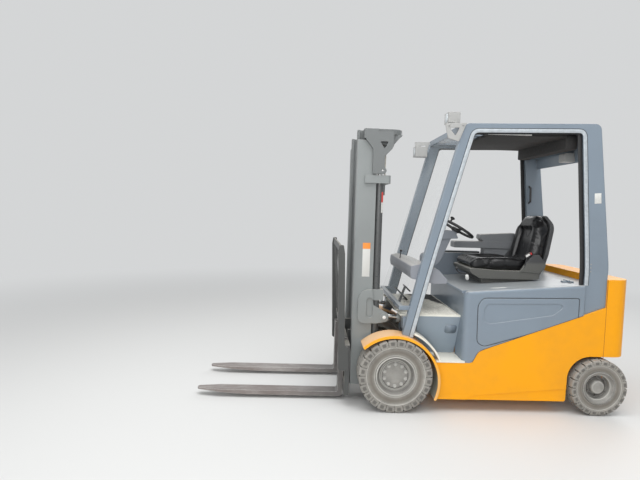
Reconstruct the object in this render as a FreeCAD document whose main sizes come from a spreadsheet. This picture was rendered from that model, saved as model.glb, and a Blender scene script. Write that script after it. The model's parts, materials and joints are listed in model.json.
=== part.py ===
# Four-wheel electric counterbalance forklift with a two-stage mast.
# Millimetres. +X points forward along the forks, +Y to the driver's left, +Z up.
# The origin lies on the floor, midway between fork tips and counterweight.

import FreeCAD, Part
import math
import os
import re
import Sketcher
from FreeCAD import Placement, Rotation, Vector

doc = FreeCAD.newDocument("forklift")
sheet = doc.addObject("Spreadsheet::Sheet", "Sizes")

# Driving dimensions: name, value, what it sets. Distances ahead are measured from the
# front axle, distances out from the middle plane, and heights from the floor.
SIZES = [
    ("front_axle_x", 125, "front axle ahead of the origin"),
    ("wheelbase", 1628, "front axle to rear axle"),
    ("body_half", 555, "half width of the body"),
    ("touch_gap", 0.3, "gap between pieces that seat on each other across a joint"),
    ("move_gap", 6, "gap between moving pieces"),
    # wheels
    ("front_tyre_radius", 292, "front tyre, outside radius"),
    ("front_tyre_width", 210, "front tyre, width"),
    ("front_wheel_inset", 50, "middle plane of a front wheel, in from the body's side"),
    ("front_wheel_y", "=body_half - front_wheel_inset", "middle plane of a front wheel"),
    ("front_band_radius", 229, "front tyre, radius of the ring on its sidewall"),
    ("front_lugs", 24, "lugs on a front tyre shoulder"),
    ("rear_tyre_radius", 226.5, "rear tyre, outside radius"),
    ("rear_tyre_width", 155, "rear tyre, width"),
    ("rear_wheel_inset", 38, "middle plane of a rear wheel, in from the body's side"),
    ("rear_wheel_y", "=body_half - rear_wheel_inset", "middle plane of a rear wheel"),
    ("rear_band_radius", 186, "rear tyre, radius of the ring on its sidewall"),
    ("rear_lugs", 20, "lugs on a rear tyre shoulder"),
    ("lug_height", 15, "depth of the slots between lugs, in the tread"),
    ("lug_face", 8, "depth of the slots between lugs, in the sidewall"),
    ("lug_slot", 13, "width of the slots between lugs"),
    ("band_depth", 8, "depth of the hollow ring in a sidewall"),
    ("front_rim_radius", 158, "front rim, outside radius"),
    ("rear_rim_radius", 132, "rear rim, outside radius"),
    ("rim_wall", 12, "wall of a rim"),
    ("stud_circle", 88, "radius of the ring of studs on a front rim"),
    ("rear_stud_circle", 76, "radius of the ring of nuts in a rear rim"),
    # axles and knuckles
    ("axle_tube_radius", 62, "drive axle housing, radius"),
    ("axle_flange_radius", 118, "drive unit flange inside the front rim"),
    ("kingpin_inset", 87, "kingpin in from the rear wheel's middle plane"),
    ("kingpin_y", "=rear_wheel_y - kingpin_inset", "kingpin out from the middle"),
    ("kingpin_radius", 12, "kingpin radius"),
    ("kingpin_fit", 0.05, "running fit of a kingpin, on the radius"),
    ("pivot_fit", 0.05, "running fit of the steering column's pivot, on the radius"),
    ("yoke_radius", 22, "yoke and knuckle boss radius"),
    ("yoke_arm", 24, "thickness of a yoke arm"),
    ("boss_half", 33, "half height of the knuckle boss"),
    ("beam_half_depth", 56, "half depth of the steer axle beam at its middle"),
    ("steer_arm", 85, "length of a steering arm"),
    # mast
    ("rail_rear", 176, "rear face of the outer rails ahead of the axle"),
    ("rail_depth", 160, "depth of an outer rail, front to back"),
    ("rail_out", 365, "outer face of an outer rail"),
    ("rail_web", 20, "web of an outer rail"),
    ("rail_flange", 20, "flange thickness of a rail"),
    ("rail_width", 65, "flange width of an outer rail"),
    ("rail_bottom", 140, "lower end of the outer rails"),
    ("rail_top", 2150, "upper end of the outer rails"),
    ("inner_out", 294, "outer face of an inner rail"),
    ("inner_width", 62, "flange width of an inner rail"),
    ("inner_depth", 150, "depth of an inner rail"),
    ("inner_web", 16, "web of an inner rail"),
    ("inner_bottom", 165, "lower end of the inner rails"),
    ("inner_top", 2236, "upper end of the inner rails"),
    ("roller_width", 18, "mast roller width"),
    ("lift_x", 143, "lift cylinder ahead of the axle"),
    ("lift_y", 330, "lift cylinder out from the middle"),
    ("lift_radius", 31, "lift cylinder tube, outside radius"),
    ("lift_bore", 24, "lift cylinder tube, bore radius"),
    ("lift_rod", 20, "lift rod radius"),
    ("lift_bottom", 165, "lower end of a lift cylinder"),
    ("lift_top", 1800, "upper end of a lift cylinder"),
    ("tie_bottom", 1803, "lower face of the upper mast tie"),
    ("tie_height", 65, "height of the upper mast tie"),
    ("tie_rear", 61, "rear face of the upper mast tie"),
    ("tie_grip", 271, "front end of the grips of the upper mast tie"),
    ("grip_plate", 20, "thickness of the tie's grips on the rails"),
    ("gusset_in", 373, "inner face of the lifting gussets"),
    ("gusset_plate", 20, "thickness of a lifting gusset"),
    ("top_tie_rear", -38, "rear edge of the top tie"),
    ("top_tie_front", 172, "front edge of the top tie"),
    ("top_tie_plate", 42, "thickness of the top tie"),
    ("top_tie_half", 345, "half width of the top tie"),
    ("chain_wheel_radius", 50, "chain wheel, radius to the chain's middle"),
    ("chain_wheel_x", 136, "chain wheel ahead of the axle"),
    ("chain_wheel_z", 2122, "chain wheel height"),
    ("chain_y", 200, "lift chain out from the middle"),
    ("chain_width", 22, "width of a lift chain"),
    ("chain_depth", 14, "depth of a lift chain"),
    ("tilt_pin_x", 76, "tilt pin on the mast, ahead of the axle"),
    ("tilt_pin_z", 712, "tilt pin on the mast, height"),
    ("tilt_rear_x", -455, "tilt cylinder's rear pin, ahead of the axle"),
    ("tilt_rear_z", 640, "tilt cylinder's rear pin, height"),
    ("tilt_y", 305, "tilt cylinder out from the middle"),
    ("tilt_pin_radius", 14, "tilt pins, radius"),
    ("tilt_eye_radius", 25, "tilt cylinder eyes, radius"),
    ("tilt_eye_width", 30, "tilt cylinder eyes, width"),
    ("tilt_tube_radius", 35, "tilt cylinder tube, radius"),
    ("tilt_rod_radius", 18, "tilt rod radius"),
    ("tilt_tube_length", 375, "tilt cylinder tube, length"),
    ("pin_fit", 0.05, "running fit of a pin, on the radius"),
    ("side_plate", 20, "thickness of the mast's side plates"),
    # carriage and forks
    ("carriage_rear", 356, "rear face of the fork bars"),
    ("carriage_bar", 40, "thickness of a fork bar"),
    ("carriage_half", 500, "half width of the fork carriage"),
    ("lower_bar_z", 92, "lower fork bar, lower edge"),
    ("upper_bar_z", 402, "upper fork bar, lower edge"),
    ("fork_bar_height", 100, "height of a fork bar"),
    ("fork_thickness", 40, "fork thickness at the heel"),
    ("fork_tip_thickness", 12, "fork thickness at the tip"),
    ("fork_width", 120, "fork width"),
    ("fork_y", 290, "fork out from the middle"),
    ("fork_length", 1171.7, "fork blade ahead of its shank"),
    ("fork_bottom", 27, "underside of the forks"),
    ("fork_shank_top", 520, "upper end of a fork's shank"),
    ("rest_top", 1305, "upper edge of the load backrest"),
    ("rest_post", 55, "depth of a backrest post"),
    ("rest_plate", 14, "thickness of the backrest posts and bars"),
    # chassis and body
    ("skirt", 25, "thickness of the side skirts and side panels"),
    ("chassis_bottom", 100, "underside of the chassis"),
    ("chassis_front", -335, "front edge of the side skirts"),
    ("step_z", 412, "step height"),
    ("step_in", 310, "inner edge of a step"),
    ("step_plate", 14, "thickness of a step"),
    ("floor_z", 757, "cab floor height"),
    ("floor_plate", 14, "thickness of the cab floor"),
    ("floor_half", "=body_half - 100", "half width of the cab floor"),
    ("floor_front", -45, "front edge of the cab floor"),
    ("hood_front", -545, "front face of the battery box"),
    ("hood_front_z", 968, "hood height at its front edge"),
    ("hood_rear_z", 1038, "hood height at its rear edge"),
    ("hood_rear", -1455, "rear edge of the hood"),
    ("hood_left", "=body_half - 63", "left edge of the hood"),
    ("hood_right", -388, "right edge of the hood"),
    ("hood_wall", 25, "thickness of the hood"),
    ("hinge_x", -1440, "hood hinge ahead of the axle"),
    ("hinge_z", 1046, "hood hinge height"),
    ("hinge_barrel", 8, "hood hinge, radius of its barrels"),
    ("hinge_pin", 4, "hood hinge, radius of its pin"),
    ("weight_front", -1662, "front face of the counterweight"),
    ("weight_rear", -1858, "rear face of the counterweight"),
    ("weight_bottom", 470, "lower edge of the counterweight over the wheels"),
    ("weight_top", 1090, "top of the counterweight"),
    ("weight_corner", 110, "corner radius of the counterweight"),
    ("arch_radius", 248, "rear wheel arch ahead of the rear axle"),
    ("fender_x", 13, "middle of the front fender's arc ahead of the axle"),
    ("fender_drop", 45, "middle of the front fender's arc below the axle"),
    ("fender_radius", 354, "front fender, inside radius"),
    ("fender_sheet", 12, "front fender, thickness"),
    ("fender_lip", 8, "depth of the front fender's edge lip"),
    ("fender_in", "=front_wheel_y - 103", "inner edge of a front fender"),
    ("fender_out", "=front_wheel_y + 101", "outer edge of a front fender"),
    # overhead guard
    ("guard_out", "=body_half - 15", "outer face of the overhead guard"),
    ("guard_post", 55, "thickness of the guard's posts across the truck"),
    ("roof_front_z", 2275, "guard height at the front"),
    ("roof_rear_z", 2303, "guard height at the rear"),
    ("roof_rail", 62, "height of the roof's side rails"),
    ("roof_sheet", 12, "thickness of the roof panel"),
    ("roof_slots", 6, "slots in the roof panel"),
    ("glass", 6, "glass thickness"),
    # driver's place
    ("wheel_ring", 154, "steering wheel, radius of the ring's middle"),
    ("wheel_grip", 13, "steering wheel, radius of the grip"),
    ("wheel_x", -609, "steering wheel centre, ahead of the axle"),
    ("wheel_z", 1446, "steering wheel centre, height"),
    ("wheel_slope", 30, "slope of the steering wheel, degrees"),
    ("pivot_x", -372, "steering column's pivot ahead of the axle"),
    ("pivot_z", 1108, "steering column's pivot, height"),
    ("column_half", 42, "half width of the steering column"),
    ("seat_half", 240, "half width of the seat tray"),
    ("seat_front", -661, "front edge of the seat tray"),
    ("seat_rear", -1262, "rear edge of the seat tray"),
    ("tray_top", 1110, "upper edge of the seat tray"),
    ("seat_top", 1206, "top of the seat cushion"),
    ("back_top", 1590, "top of the seat back"),
    ("bolster", 34, "height of the seat's side bolsters over its middle"),
]

for row, (name, value, note) in enumerate(SIZES, 1):
    sheet.set("A%d" % row, note)
    sheet.set("B%d" % row, str(value))
    sheet.setAlias("B%d" % row, name)
doc.recompute()

NAMES = {name for name, value, note in SIZES}
nodes = {}


def tied(text):
    """An expression on the sheet's names, as the document writes it."""
    return re.sub(r"[a-z][a-z_]*",
                  lambda m: "Sizes." + m.group(0) if m.group(0) in NAMES else m.group(0),
                  str(text))


def size(text):
    """The number that an expression on the sheet's names gives."""
    return float(sheet.evalExpression(tied(text)))


def ahead(text):
    """A distance ahead of the front axle, in the part's own X."""
    return "front_axle_x + (%s)" % text


def plane(body, role):
    return next(item for item in body.Origin.OriginFeatures if item.Role == role)


def check_bends(label, at, radii):
    """Each edge must be long enough for the bends at its two ends."""
    count = len(at)
    reach = []
    for k in range(count):
        back = (at[k - 1] - at[k]).normalize()
        onward = (at[(k + 1) % count] - at[k]).normalize()
        reach.append(radii[k] / math.tan(back.getAngle(onward) / 2))
    for k in range(count):
        edge = (at[(k + 1) % count] - at[k]).Length
        if reach[k] + reach[(k + 1) % count] > edge + 1e-6:
            raise ValueError("%s: bends at corners %d and %d need %.1f of %.1f"
                             % (label, k, (k + 1) % count, reach[k] + reach[(k + 1) % count], edge))


def outline(body, role, corners, lift="0"):
    """A closed sketch: each corner is (first, second) or (first, second, radius)."""
    sketch = body.newObject("Sketcher::SketchObject", "Outline")
    sketch.AttachmentSupport = [(plane(body, role), "")]
    sketch.MapMode = "FlatFace"
    sketch.setExpression("AttachmentOffset.Base.z", tied(lift))
    at = [Vector(size(corner[0]), size(corner[1]), 0) for corner in corners]
    check_bends(body.Label, at, [size(corner[2]) if len(corner) > 2 else 0 for corner in corners])
    count = len(corners)
    for k in range(count):
        sketch.addGeometry(Part.LineSegment(at[k], at[(k + 1) % count]), False)
    for k in range(count):
        sketch.addConstraint(Sketcher.Constraint("Coincident", k, 2, (k + 1) % count, 1))
    for k, corner in enumerate(corners):
        across = sketch.addConstraint(Sketcher.Constraint("DistanceX", -1, 1, k, 1, at[k].x))
        sketch.setExpression("Constraints[%d]" % across, tied(corner[0]))
        up = sketch.addConstraint(Sketcher.Constraint("DistanceY", -1, 1, k, 1, at[k].y))
        sketch.setExpression("Constraints[%d]" % up, tied(corner[1]))
    for k, corner in enumerate(corners):
        if len(corner) > 2:
            first = sketch.GeometryCount
            sketch.fillet(k, 1, size(corner[2]), True, True)
            bend = sketch.addConstraint(Sketcher.Constraint("Radius", first, size(corner[2])))
            sketch.setExpression("Constraints[%d]" % bend, tied(corner[2]))
    return sketch


def slab(label, role, corners, low, high, holes=()):
    """A plate between two levels: XZ outlines run across Y, YZ along X, XY up Z."""
    body = doc.addObject("PartDesign::Body", label)
    lift = "-(%s)" % high if role == "XZ_Plane" else low
    pad = body.newObject("PartDesign::Pad", "Pad")
    pad.Profile = outline(body, role, corners, lift)
    pad.setExpression("Length", tied("(%s) - (%s)" % (high, low)))
    doc.recompute()
    for hole in holes:
        before = body.Shape.Volume
        pocket = body.newObject("PartDesign::Pocket", "Pocket")
        pocket.Profile = outline(body, role, hole, lift)
        pocket.Type = "ThroughAll"
        pocket.Reversed = True
        doc.recompute()
        if body.Shape.Volume > before - 1:
            raise RuntimeError("a pocket in %s cuts nothing" % label)
    return body


def turned(label, corners, x, y, z, side="1"):
    """A ring or disc turned about Y: each corner is (distance out, radius)."""
    body = doc.addObject("PartDesign::Body", label)
    ring = body.newObject("PartDesign::Revolution", "Turning")
    signed = [("(%s) * (%s)" % (side, corner[0]), corner[1]) for corner in corners]
    ring.Profile = outline(body, "YZ_Plane", signed)
    ring.ReferenceAxis = (plane(body, "Y_Axis"), [""])
    ring.Angle = 360
    place(body, x, y, z)
    return body


def place(item, x, y, z):
    for axis, text in zip("xyz", (x, y, z)):
        item.setExpression("Placement.Base." + axis, tied(text))
    doc.recompute()


def block(label, x, y, z):
    """A rectangular block; x, y and z are each (low, high)."""
    item = doc.addObject("Part::Box", label)
    for side, (low, high) in zip(("Length", "Width", "Height"), (x, y, z)):
        item.setExpression(side, tied("(%s) - (%s)" % (high, low)))
    place(item, x[0], y[0], z[0])
    return item


def pole(label, axis, radius, start, length, angle=360, turn=0):
    """A round bar from its start point along X, Y or Z, or a sector of one."""
    item = doc.addObject("Part::Cylinder", label)
    item.setExpression("Radius", tied(radius))
    item.setExpression("Height", tied(length))
    item.Angle = angle
    tip = {"X": Rotation(Vector(0, 1, 0), 90), "Y": Rotation(Vector(1, 0, 0), -90),
           "Z": Rotation()}[axis]
    item.Placement = Placement(Vector(), tip * Rotation(Vector(0, 0, 1), turn))
    place(item, *start)
    return item


def cone(label, axis, first, second, start, length):
    """A tapered round bar from its start point along X, Y or Z."""
    item = doc.addObject("Part::Cone", label)
    item.setExpression("Radius1", tied(first))
    item.setExpression("Radius2", tied(second))
    item.setExpression("Height", tied(length))
    tip = {"X": Rotation(Vector(0, 1, 0), 90), "Y": Rotation(Vector(1, 0, 0), -90),
           "Z": Rotation()}[axis]
    item.Placement = Placement(Vector(), tip)
    place(item, *start)
    return item


def joined(label, *pieces):
    item = doc.addObject("Part::MultiFuse", label)
    item.Shapes = list(pieces)
    item.Refine = True
    doc.recompute()
    return item


def cut(label, base, *tools):
    tool = tools[0] if len(tools) == 1 else joined("Cutter", *tools)
    item = doc.addObject("Part::Cut", label)
    item.Base, item.Tool = base, tool
    item.Refine = True
    doc.recompute()
    return item


def common(label, first, second):
    item = doc.addObject("Part::Common", label)
    item.Base, item.Tool = first, second
    doc.recompute()
    return item


def mirrored(piece, label="Mirror"):
    item = doc.addObject("Part::Mirroring", label)
    item.Source = piece
    item.Base = Vector()
    item.Normal = Vector(0, 1, 0)
    doc.recompute()
    return item


def both(label, piece):
    """A piece and its mirror image as one sub-part of two solids."""
    item = doc.addObject("Part::Compound", label)
    item.Links = [piece, mirrored(piece)]
    doc.recompute()
    return item


def shaped(label, shape):
    """A piece whose form comes straight from geometry."""
    item = doc.addObject("Part::Feature", label)
    item.Shape = shape
    return item


def node(name, item):
    item.Label = name
    nodes[name] = item
    return item


def pair(name, piece):
    """The left piece and its mirror image as two sub-parts."""
    node(name + "_left", piece)
    node(name + "_right", mirrored(piece))



# Wheels. The tread is cut into lugs at both shoulders, half a pitch apart.

def tyre(label, radius, width, rim, band, lugs):
    """A solid tyre about the Y axis: a turned body with slots cut between its lugs."""
    half = size(width) / 2
    outer = size(radius)
    seat = size(rim) + size("touch_gap")
    ring = size(band)
    # Out from the middle plane, radius
    profile = [(half - 16, seat), (half - 9, seat + 4), (half - size("band_depth"), seat + 14),
               (half - size("band_depth"), ring - 8), (half, ring), (half, outer - 15),
               (half - 7, outer - 3),
               (half - 22, outer)]
    around = profile + [(-out, reach) for out, reach in reversed(profile)]
    edge = Part.makePolygon([Vector(0, out, reach) for out, reach in around + around[:1]])
    body = Part.Face(edge).revolve(Vector(), Vector(0, 1, 0), 360)
    floor = outer - size("lug_height")
    shelf = half - size("lug_face")
    # The slot runs in across the tread and down the sidewall to the ring.
    slot = [(0.16 * half, floor), (shelf, floor), (shelf, ring + 6), (half + 5, ring + 6),
            (half + 5, outer + 5),
            (0.16 * half, outer + 5)]
    count = int(size(lugs))
    slots = []
    for hand, shift in ((1, 0.0), (-1, 0.5)):
        at = [Vector(-size("lug_slot") / 2, hand * out, reach) for out, reach in slot]
        bar = Part.Face(Part.makePolygon(at + at[:1])).extrude(Vector(size("lug_slot"), 0, 0))
        for k in range(count):
            slots.append(bar.rotated(Vector(), Vector(0, 1, 0), (k + shift) * 360 / count))
    return shaped(label, body.cut(Part.makeCompound(slots)))


def rim(label, half, steps, side):
    corners = [("%s + (%s)" % (half, out), reach) for out, reach in steps]
    return turned(label, corners, "0", "0", "0", side)


FRONT_HALF = "front_tyre_width / 2"
REAR_HALF = "rear_tyre_width / 2"
# Out from the tyre's outer face, radius
FRONT_RIM = [("-8", "front_rim_radius"), ("-3", "front_rim_radius - 3"), ("-3", "front_rim_radius - 9"),
             ("-14", "front_rim_radius - 15"), ("-30", "front_rim_radius - 19"),
             ("-46", "front_rim_radius - 34"),
             ("-46", "front_rim_radius - 41"), ("-36", "front_rim_radius - 44"),
             ("-36", "front_rim_radius - 52"),
             ("-46", "front_rim_radius - 56"), ("-46", "0"), ("-60", "0"),
             ("-60", "front_rim_radius - 40"), ("-66", "front_rim_radius - rim_wall"),
             ("10 - front_tyre_width", "front_rim_radius - rim_wall"),
             ("10 - front_tyre_width", "front_rim_radius")]
REAR_RIM = [("-8", "rear_rim_radius"), ("-3", "rear_rim_radius - 3"), ("-3", "rear_rim_radius - 10"),
            ("-12", "rear_rim_radius - 18"), ("-22", "rear_rim_radius - 22"),
            ("-30", "rear_rim_radius - 34"),
            ("-66", "rear_rim_radius - 40"), ("-66", "60"), ("-32", "54"), ("-24", "44"), ("-24", "0"),
            ("-82", "0"),
            ("-82", "rear_rim_radius - rim_wall"), ("8 - rear_tyre_width", "rear_rim_radius - rim_wall"),
            ("8 - rear_tyre_width", "rear_rim_radius")]
FRONT_X = "front_axle_x"
REAR_X = "front_axle_x - wheelbase"


def studs(circle, count, radius, length, seat, hand):
    """A ring of studs on a rim's disc, seated at `seat` out from its middle plane."""
    ring = []
    for k in range(count):
        angle = 2 * math.pi * (k + 0.5) / count
        foot = Vector(circle * math.cos(angle), hand * seat, circle * math.sin(angle))
        ring.append(Part.makeCylinder(radius, length, foot, Vector(0, hand, 0)))
    return shaped("Studs", Part.makeCompound(ring))


# Side, direction outward
for side, hand in (("left", 1), ("right", -1)):
    wheel = tyre("FrontTyre", "front_tyre_radius", "front_tyre_width", "front_rim_radius",
                 "front_band_radius",
                 "front_lugs")
    place(wheel, FRONT_X, "%d * front_wheel_y" % hand, "front_tyre_radius")
    node("front_tyre_" + side, wheel)
    disc = rim("FrontRim", FRONT_HALF, FRONT_RIM, hand)
    ring = studs(size("stud_circle"), 10, 11, 14, size(FRONT_HALF) - 47, hand)
    studded = joined("StuddedFrontRim", disc, ring)
    place(studded, FRONT_X, "%d * front_wheel_y" % hand, "front_tyre_radius")
    node("front_rim_" + side, studded)
    wheel = tyre("RearTyre", "rear_tyre_radius", "rear_tyre_width", "rear_rim_radius",
                 "rear_band_radius", "rear_lugs")
    place(wheel, REAR_X, "%d * rear_wheel_y" % hand, "rear_tyre_radius")
    node("rear_tyre_" + side, wheel)
    disc = rim("RearRim", REAR_HALF, REAR_RIM, hand)
    ring = studs(size("rear_stud_circle"), 6, 9, 20, size(REAR_HALF) - 67, hand)
    studded = joined("StuddedRearRim", disc, ring)
    place(studded, REAR_X, "%d * rear_wheel_y" % hand, "rear_tyre_radius")
    node("rear_rim_" + side, studded)

# Drive axle: a housing tube with a motor casing in the middle and a drive unit at each end.
AXLE_Z = "front_tyre_radius"
FLANGE_IN = "(front_wheel_y - 100)"
SPINDLE_END = "front_wheel_y + %s - 60 - touch_gap" % FRONT_HALF
half_axle = [
    pole("Housing", "Y", "axle_tube_radius", (FRONT_X, "0", AXLE_Z), FLANGE_IN),
    cone("Casing", "Y", "110", "axle_tube_radius + 14", (FRONT_X, "0", AXLE_Z), "178"),
    pole("DriveUnit", "Y", "axle_flange_radius", (FRONT_X, FLANGE_IN, AXLE_Z), "70"),
    pole("Spindle", "Y", "46", (FRONT_X, "front_wheel_y - 30", AXLE_Z),
         "(%s) - front_wheel_y + 30" % SPINDLE_END),
]
axle_left = joined("AxleHalf", *half_axle)
node("drive_axle", joined("DriveAxle", axle_left, mirrored(axle_left)))

# Steer axle: a box beam that narrows to a yoke at each end, with a pad under the chassis.
STEER_Z = "rear_tyre_radius"
ARM_TOP = "boss_half + move_gap / 6 + yoke_arm"
beam_plan = [(REAR_X + " - beam_half_depth", "0"), (REAR_X + " - beam_half_depth", "kingpin_y - 190"),
             (REAR_X + " - 44", "kingpin_y - 130"), (REAR_X + " - yoke_radius", "kingpin_y - 58"),
             (REAR_X + " + yoke_radius", "kingpin_y - 58"), (REAR_X + " + 44", "kingpin_y - 130"),
             (REAR_X + " + beam_half_depth", "kingpin_y - 190"), (REAR_X + " + beam_half_depth", "0")]
beam = slab("Beam", "XY_Plane", beam_plan, STEER_Z + " - (%s)" % ARM_TOP, STEER_Z + " + " + ARM_TOP)
arms = block("Arms", (REAR_X + " - yoke_radius", REAR_X + " + yoke_radius"),
             ("kingpin_y - 60", "kingpin_y"),
             (STEER_Z + " - (%s)" % ARM_TOP, STEER_Z + " + " + ARM_TOP))
ends = pole("ArmEnds", "Z", "yoke_radius", (REAR_X, "kingpin_y", STEER_Z + " - (%s)" % ARM_TOP),
            "2 * (%s)" % ARM_TOP)
throat = block("Throat", (REAR_X + " - 60", REAR_X + " + 60"), ("kingpin_y - 34", "kingpin_y + 60"),
               (STEER_Z + " - boss_half - move_gap / 6", STEER_Z + " + boss_half + move_gap / 6"))
pin_hole = pole("PinHole", "Z", "kingpin_radius + kingpin_fit", (REAR_X, "kingpin_y", STEER_Z + " - 90"),
                "180")
pad_top = "330"
saddle = block("Saddle", (REAR_X + " - 80", REAR_X + " + 80"), ("0", "110"),
               (STEER_Z + " + 40", pad_top))
yoke = cut("Yoke", joined("YokeBlank", beam, arms, ends, saddle), throat, pin_hole)
node("steer_axle", joined("SteerAxle", yoke, mirrored(yoke)))

# Knuckles: a boss on its kingpin, the stub axle and the steering arm.
STUB_END = "rear_wheel_y + %s - 82 - touch_gap" % REAR_HALF
knuckle = joined(
    "Knuckle",
    pole("Boss", "Z", "yoke_radius", (REAR_X, "kingpin_y", STEER_Z + " - boss_half"), "2 * boss_half"),
    pole("Kingpin", "Z", "kingpin_radius", (REAR_X, "kingpin_y", STEER_Z + " - 62"), "140"),
    pole("Stub", "Y", "28", (REAR_X, "kingpin_y", STEER_Z), "46"),
    pole("StubEnd", "Y", "24", (REAR_X, "kingpin_y + 40", STEER_Z), "(%s) - kingpin_y - 40" % STUB_END),
    block("Arm", (REAR_X + " - steer_arm", REAR_X + " + 14"), ("kingpin_y - 22", "kingpin_y + 8"),
          (STEER_Z + " + 64", STEER_Z + " + 78")),
)
pair("knuckle", knuckle)

# Outer mast: channel rails, ties, lifting cylinder clamps, tilt brackets and axle bearings.
RAIL_X0 = ahead("rail_rear")
RAIL_X1 = ahead("rail_rear + rail_depth")


def rail(label, rear, front, inner, outer, flange, web_in, web_out, low, high):
    """A rolled rail in plan: flanges front and rear, with a web between."""
    corners = [(rear, inner), (front, inner), (front, outer), (rear, outer)]
    holes = []
    if web_in != inner:
        holes.append([(rear + " + " + flange, inner + " - 1"), (front + " - " + flange, inner + " - 1"),
                      (front + " - " + flange, web_in), (rear + " + " + flange, web_in)])
    if web_out != outer:
        holes.append([(rear + " + " + flange, web_out), (front + " - " + flange, web_out),
                      (front + " - " + flange, outer + " + 1"), (rear + " + " + flange, outer + " + 1")])
    return slab(label, "XY_Plane", corners, low, high, holes)


outer_rail = rail("OuterRail", RAIL_X0, RAIL_X1, "rail_out - rail_width", "rail_out", "rail_flange",
                  "rail_out - rail_web", "rail_out", "rail_bottom", "rail_top")
INNER_X0 = ahead("rail_rear + 7")
INNER_X1 = ahead("rail_rear + 7 + inner_depth")
INNER_MID = "inner_out - inner_width / 2"
inner_rail = rail("InnerRail", INNER_X0, INNER_X1, "inner_out - inner_width", "inner_out", "rail_flange",
                  "(%s) - inner_web / 2" % INNER_MID, "(%s) + inner_web / 2" % INNER_MID,
                  "inner_bottom", "inner_top")

GROOVE_X = ahead("rail_rear + 7 + inner_depth / 2")
OUTER_GROOVE_X = ahead("rail_rear + rail_depth / 2")
top_roller = [
    pole("TopRoller", "Y", "inner_depth / 2 - rail_flange - 1",
         (GROOVE_X, "%s + inner_web / 2 + 2" % INNER_MID, "rail_top - 66"), "roller_width"),
    pole("TopRollerPin", "Y", "20", (GROOVE_X, "%s + inner_web / 2 + 10" % INNER_MID, "rail_top - 66"),
         "rail_out - rail_web + 2 - (%s) - inner_web / 2 - 10" % INNER_MID),
]
TIE_TOP = "tie_bottom + tie_height"
TIE_HALF = "rail_out + grip_plate"
upper_tie = [
    slab("UpperTie", "XY_Plane", [
        (ahead("tie_rear"), "0"), (ahead("tie_rear"), TIE_HALF, "24"), (ahead("tie_grip"), TIE_HALF),
        (ahead("tie_grip"), "rail_out"), (ahead("tie_rear + 47"), "rail_out"),
        (ahead("tie_rear + 47"), "0")],
        "tie_bottom", TIE_TOP),
    pole("ChainAnchor", "Z", "7", (ahead("chain_wheel_x - chain_wheel_radius"), "chain_y",
                                   "tie_bottom - 90"),
         "tie_height + 90"),
]
CLAMP_Z = "845"
clamp = block("Clamp", (ahead("84"), RAIL_X0), ("lift_y - lift_radius - 14", "rail_out - 1"),
              (CLAMP_Z, CLAMP_Z + " + 92"))
clamp_bore = pole("ClampBore", "Z", "lift_radius + touch_gap",
                  (ahead("lift_x"), "lift_y", CLAMP_Z + " - 10"), "120")
lower_tie = block("LowerTie", (ahead("84"), ahead("104")), ("0", "lift_y"),
                  (CLAMP_Z + " + 10", CLAMP_Z + " + 80"))
foot_plate = block("FootPlate", (ahead("100"), ahead("rail_rear + 30")), ("0", "rail_out - 1"),
                   ("rail_bottom", "lift_bottom"))
front_lip = block("FootWall", (ahead("150"), RAIL_X0), ("0", "rail_out - rail_width - 4"),
                  ("rail_bottom", "345"))
bearing = [
    pole("BearingRing", "Y", "axle_tube_radius + 33", (FRONT_X, "262", AXLE_Z), "32"),
    block("BearingArm", (ahead("40"), ahead("160")), ("262", "294"), ("205", "345")),
]
bearing_bore = pole("BearingBore", "Y", "axle_tube_radius + touch_gap", (FRONT_X, "250", AXLE_Z), "60")
PLATE_TOP = "935"
tilt_bracket = slab("TiltBracket", "XZ_Plane", [
    (ahead("293"), "tilt_pin_z - 58", "55"), (ahead("293"), PLATE_TOP, "90"), (ahead("178"), PLATE_TOP),
    (ahead("165"), "tilt_pin_z + 96", "12"), (ahead("tilt_pin_x - 38"), "tilt_pin_z + 26", "26"),
    (ahead("tilt_pin_x - 36"), "tilt_pin_z - 36", "30"), (ahead("tilt_pin_x + 60"), "tilt_pin_z - 54",
                                                          "30")],
    "rail_out", "rail_out + side_plate")
slot_half = "55"
slot = joined("Slot",
              block("SlotMiddle", (ahead("170"), ahead("224")), ("rail_out + 8", "rail_out + 40"),
                    ("787 - " + slot_half, "787 + " + slot_half)),
              pole("SlotTop", "Y", "27", (ahead("197"), "rail_out + 8", "787 + " + slot_half), "32"),
              pole("SlotFoot", "Y", "27", (ahead("197"), "rail_out + 8", "787 - " + slot_half), "32"))
TILT_PIN = (ahead("tilt_pin_x"), "tilt_y - tilt_eye_width / 2 - 3", "tilt_pin_z")
tilt_pin = [
    pole("TiltPin", "Y", "tilt_pin_radius", TILT_PIN, "rail_out + side_plate + 12 - (%s)" % TILT_PIN[1]),
    pole("TiltWasher", "Y", "32", (ahead("tilt_pin_x"), "rail_out + side_plate", "tilt_pin_z"), "5"),
    pole("TiltSpacer", "Y", "tilt_pin_radius + 9",
         (ahead("tilt_pin_x"), "tilt_y + tilt_rod_radius + 1", "tilt_pin_z"),
         "rail_out - tilt_y - tilt_rod_radius"),
]
outer_left = joined("OuterLeft", outer_rail, foot_plate, front_lip,
                    cut("BoredBearing", joined("Bearing", *bearing), bearing_bore),
                    cut("SlottedBracket", tilt_bracket, slot), *top_roller, *tilt_pin)
node("mast_outer_frame", joined("OuterMast", outer_left, mirrored(outer_left)))
half_clamp = cut("BoredClamp", joined("ClampAndTie", clamp, lower_tie), clamp_bore)
node("mast_cylinder_clamps", joined("CylinderClamps", half_clamp, mirrored(half_clamp)))
half_tie = joined("HalfTie", *upper_tie)
node("mast_upper_tie", joined("MastUpperTie", half_tie, mirrored(half_tie)))

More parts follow.
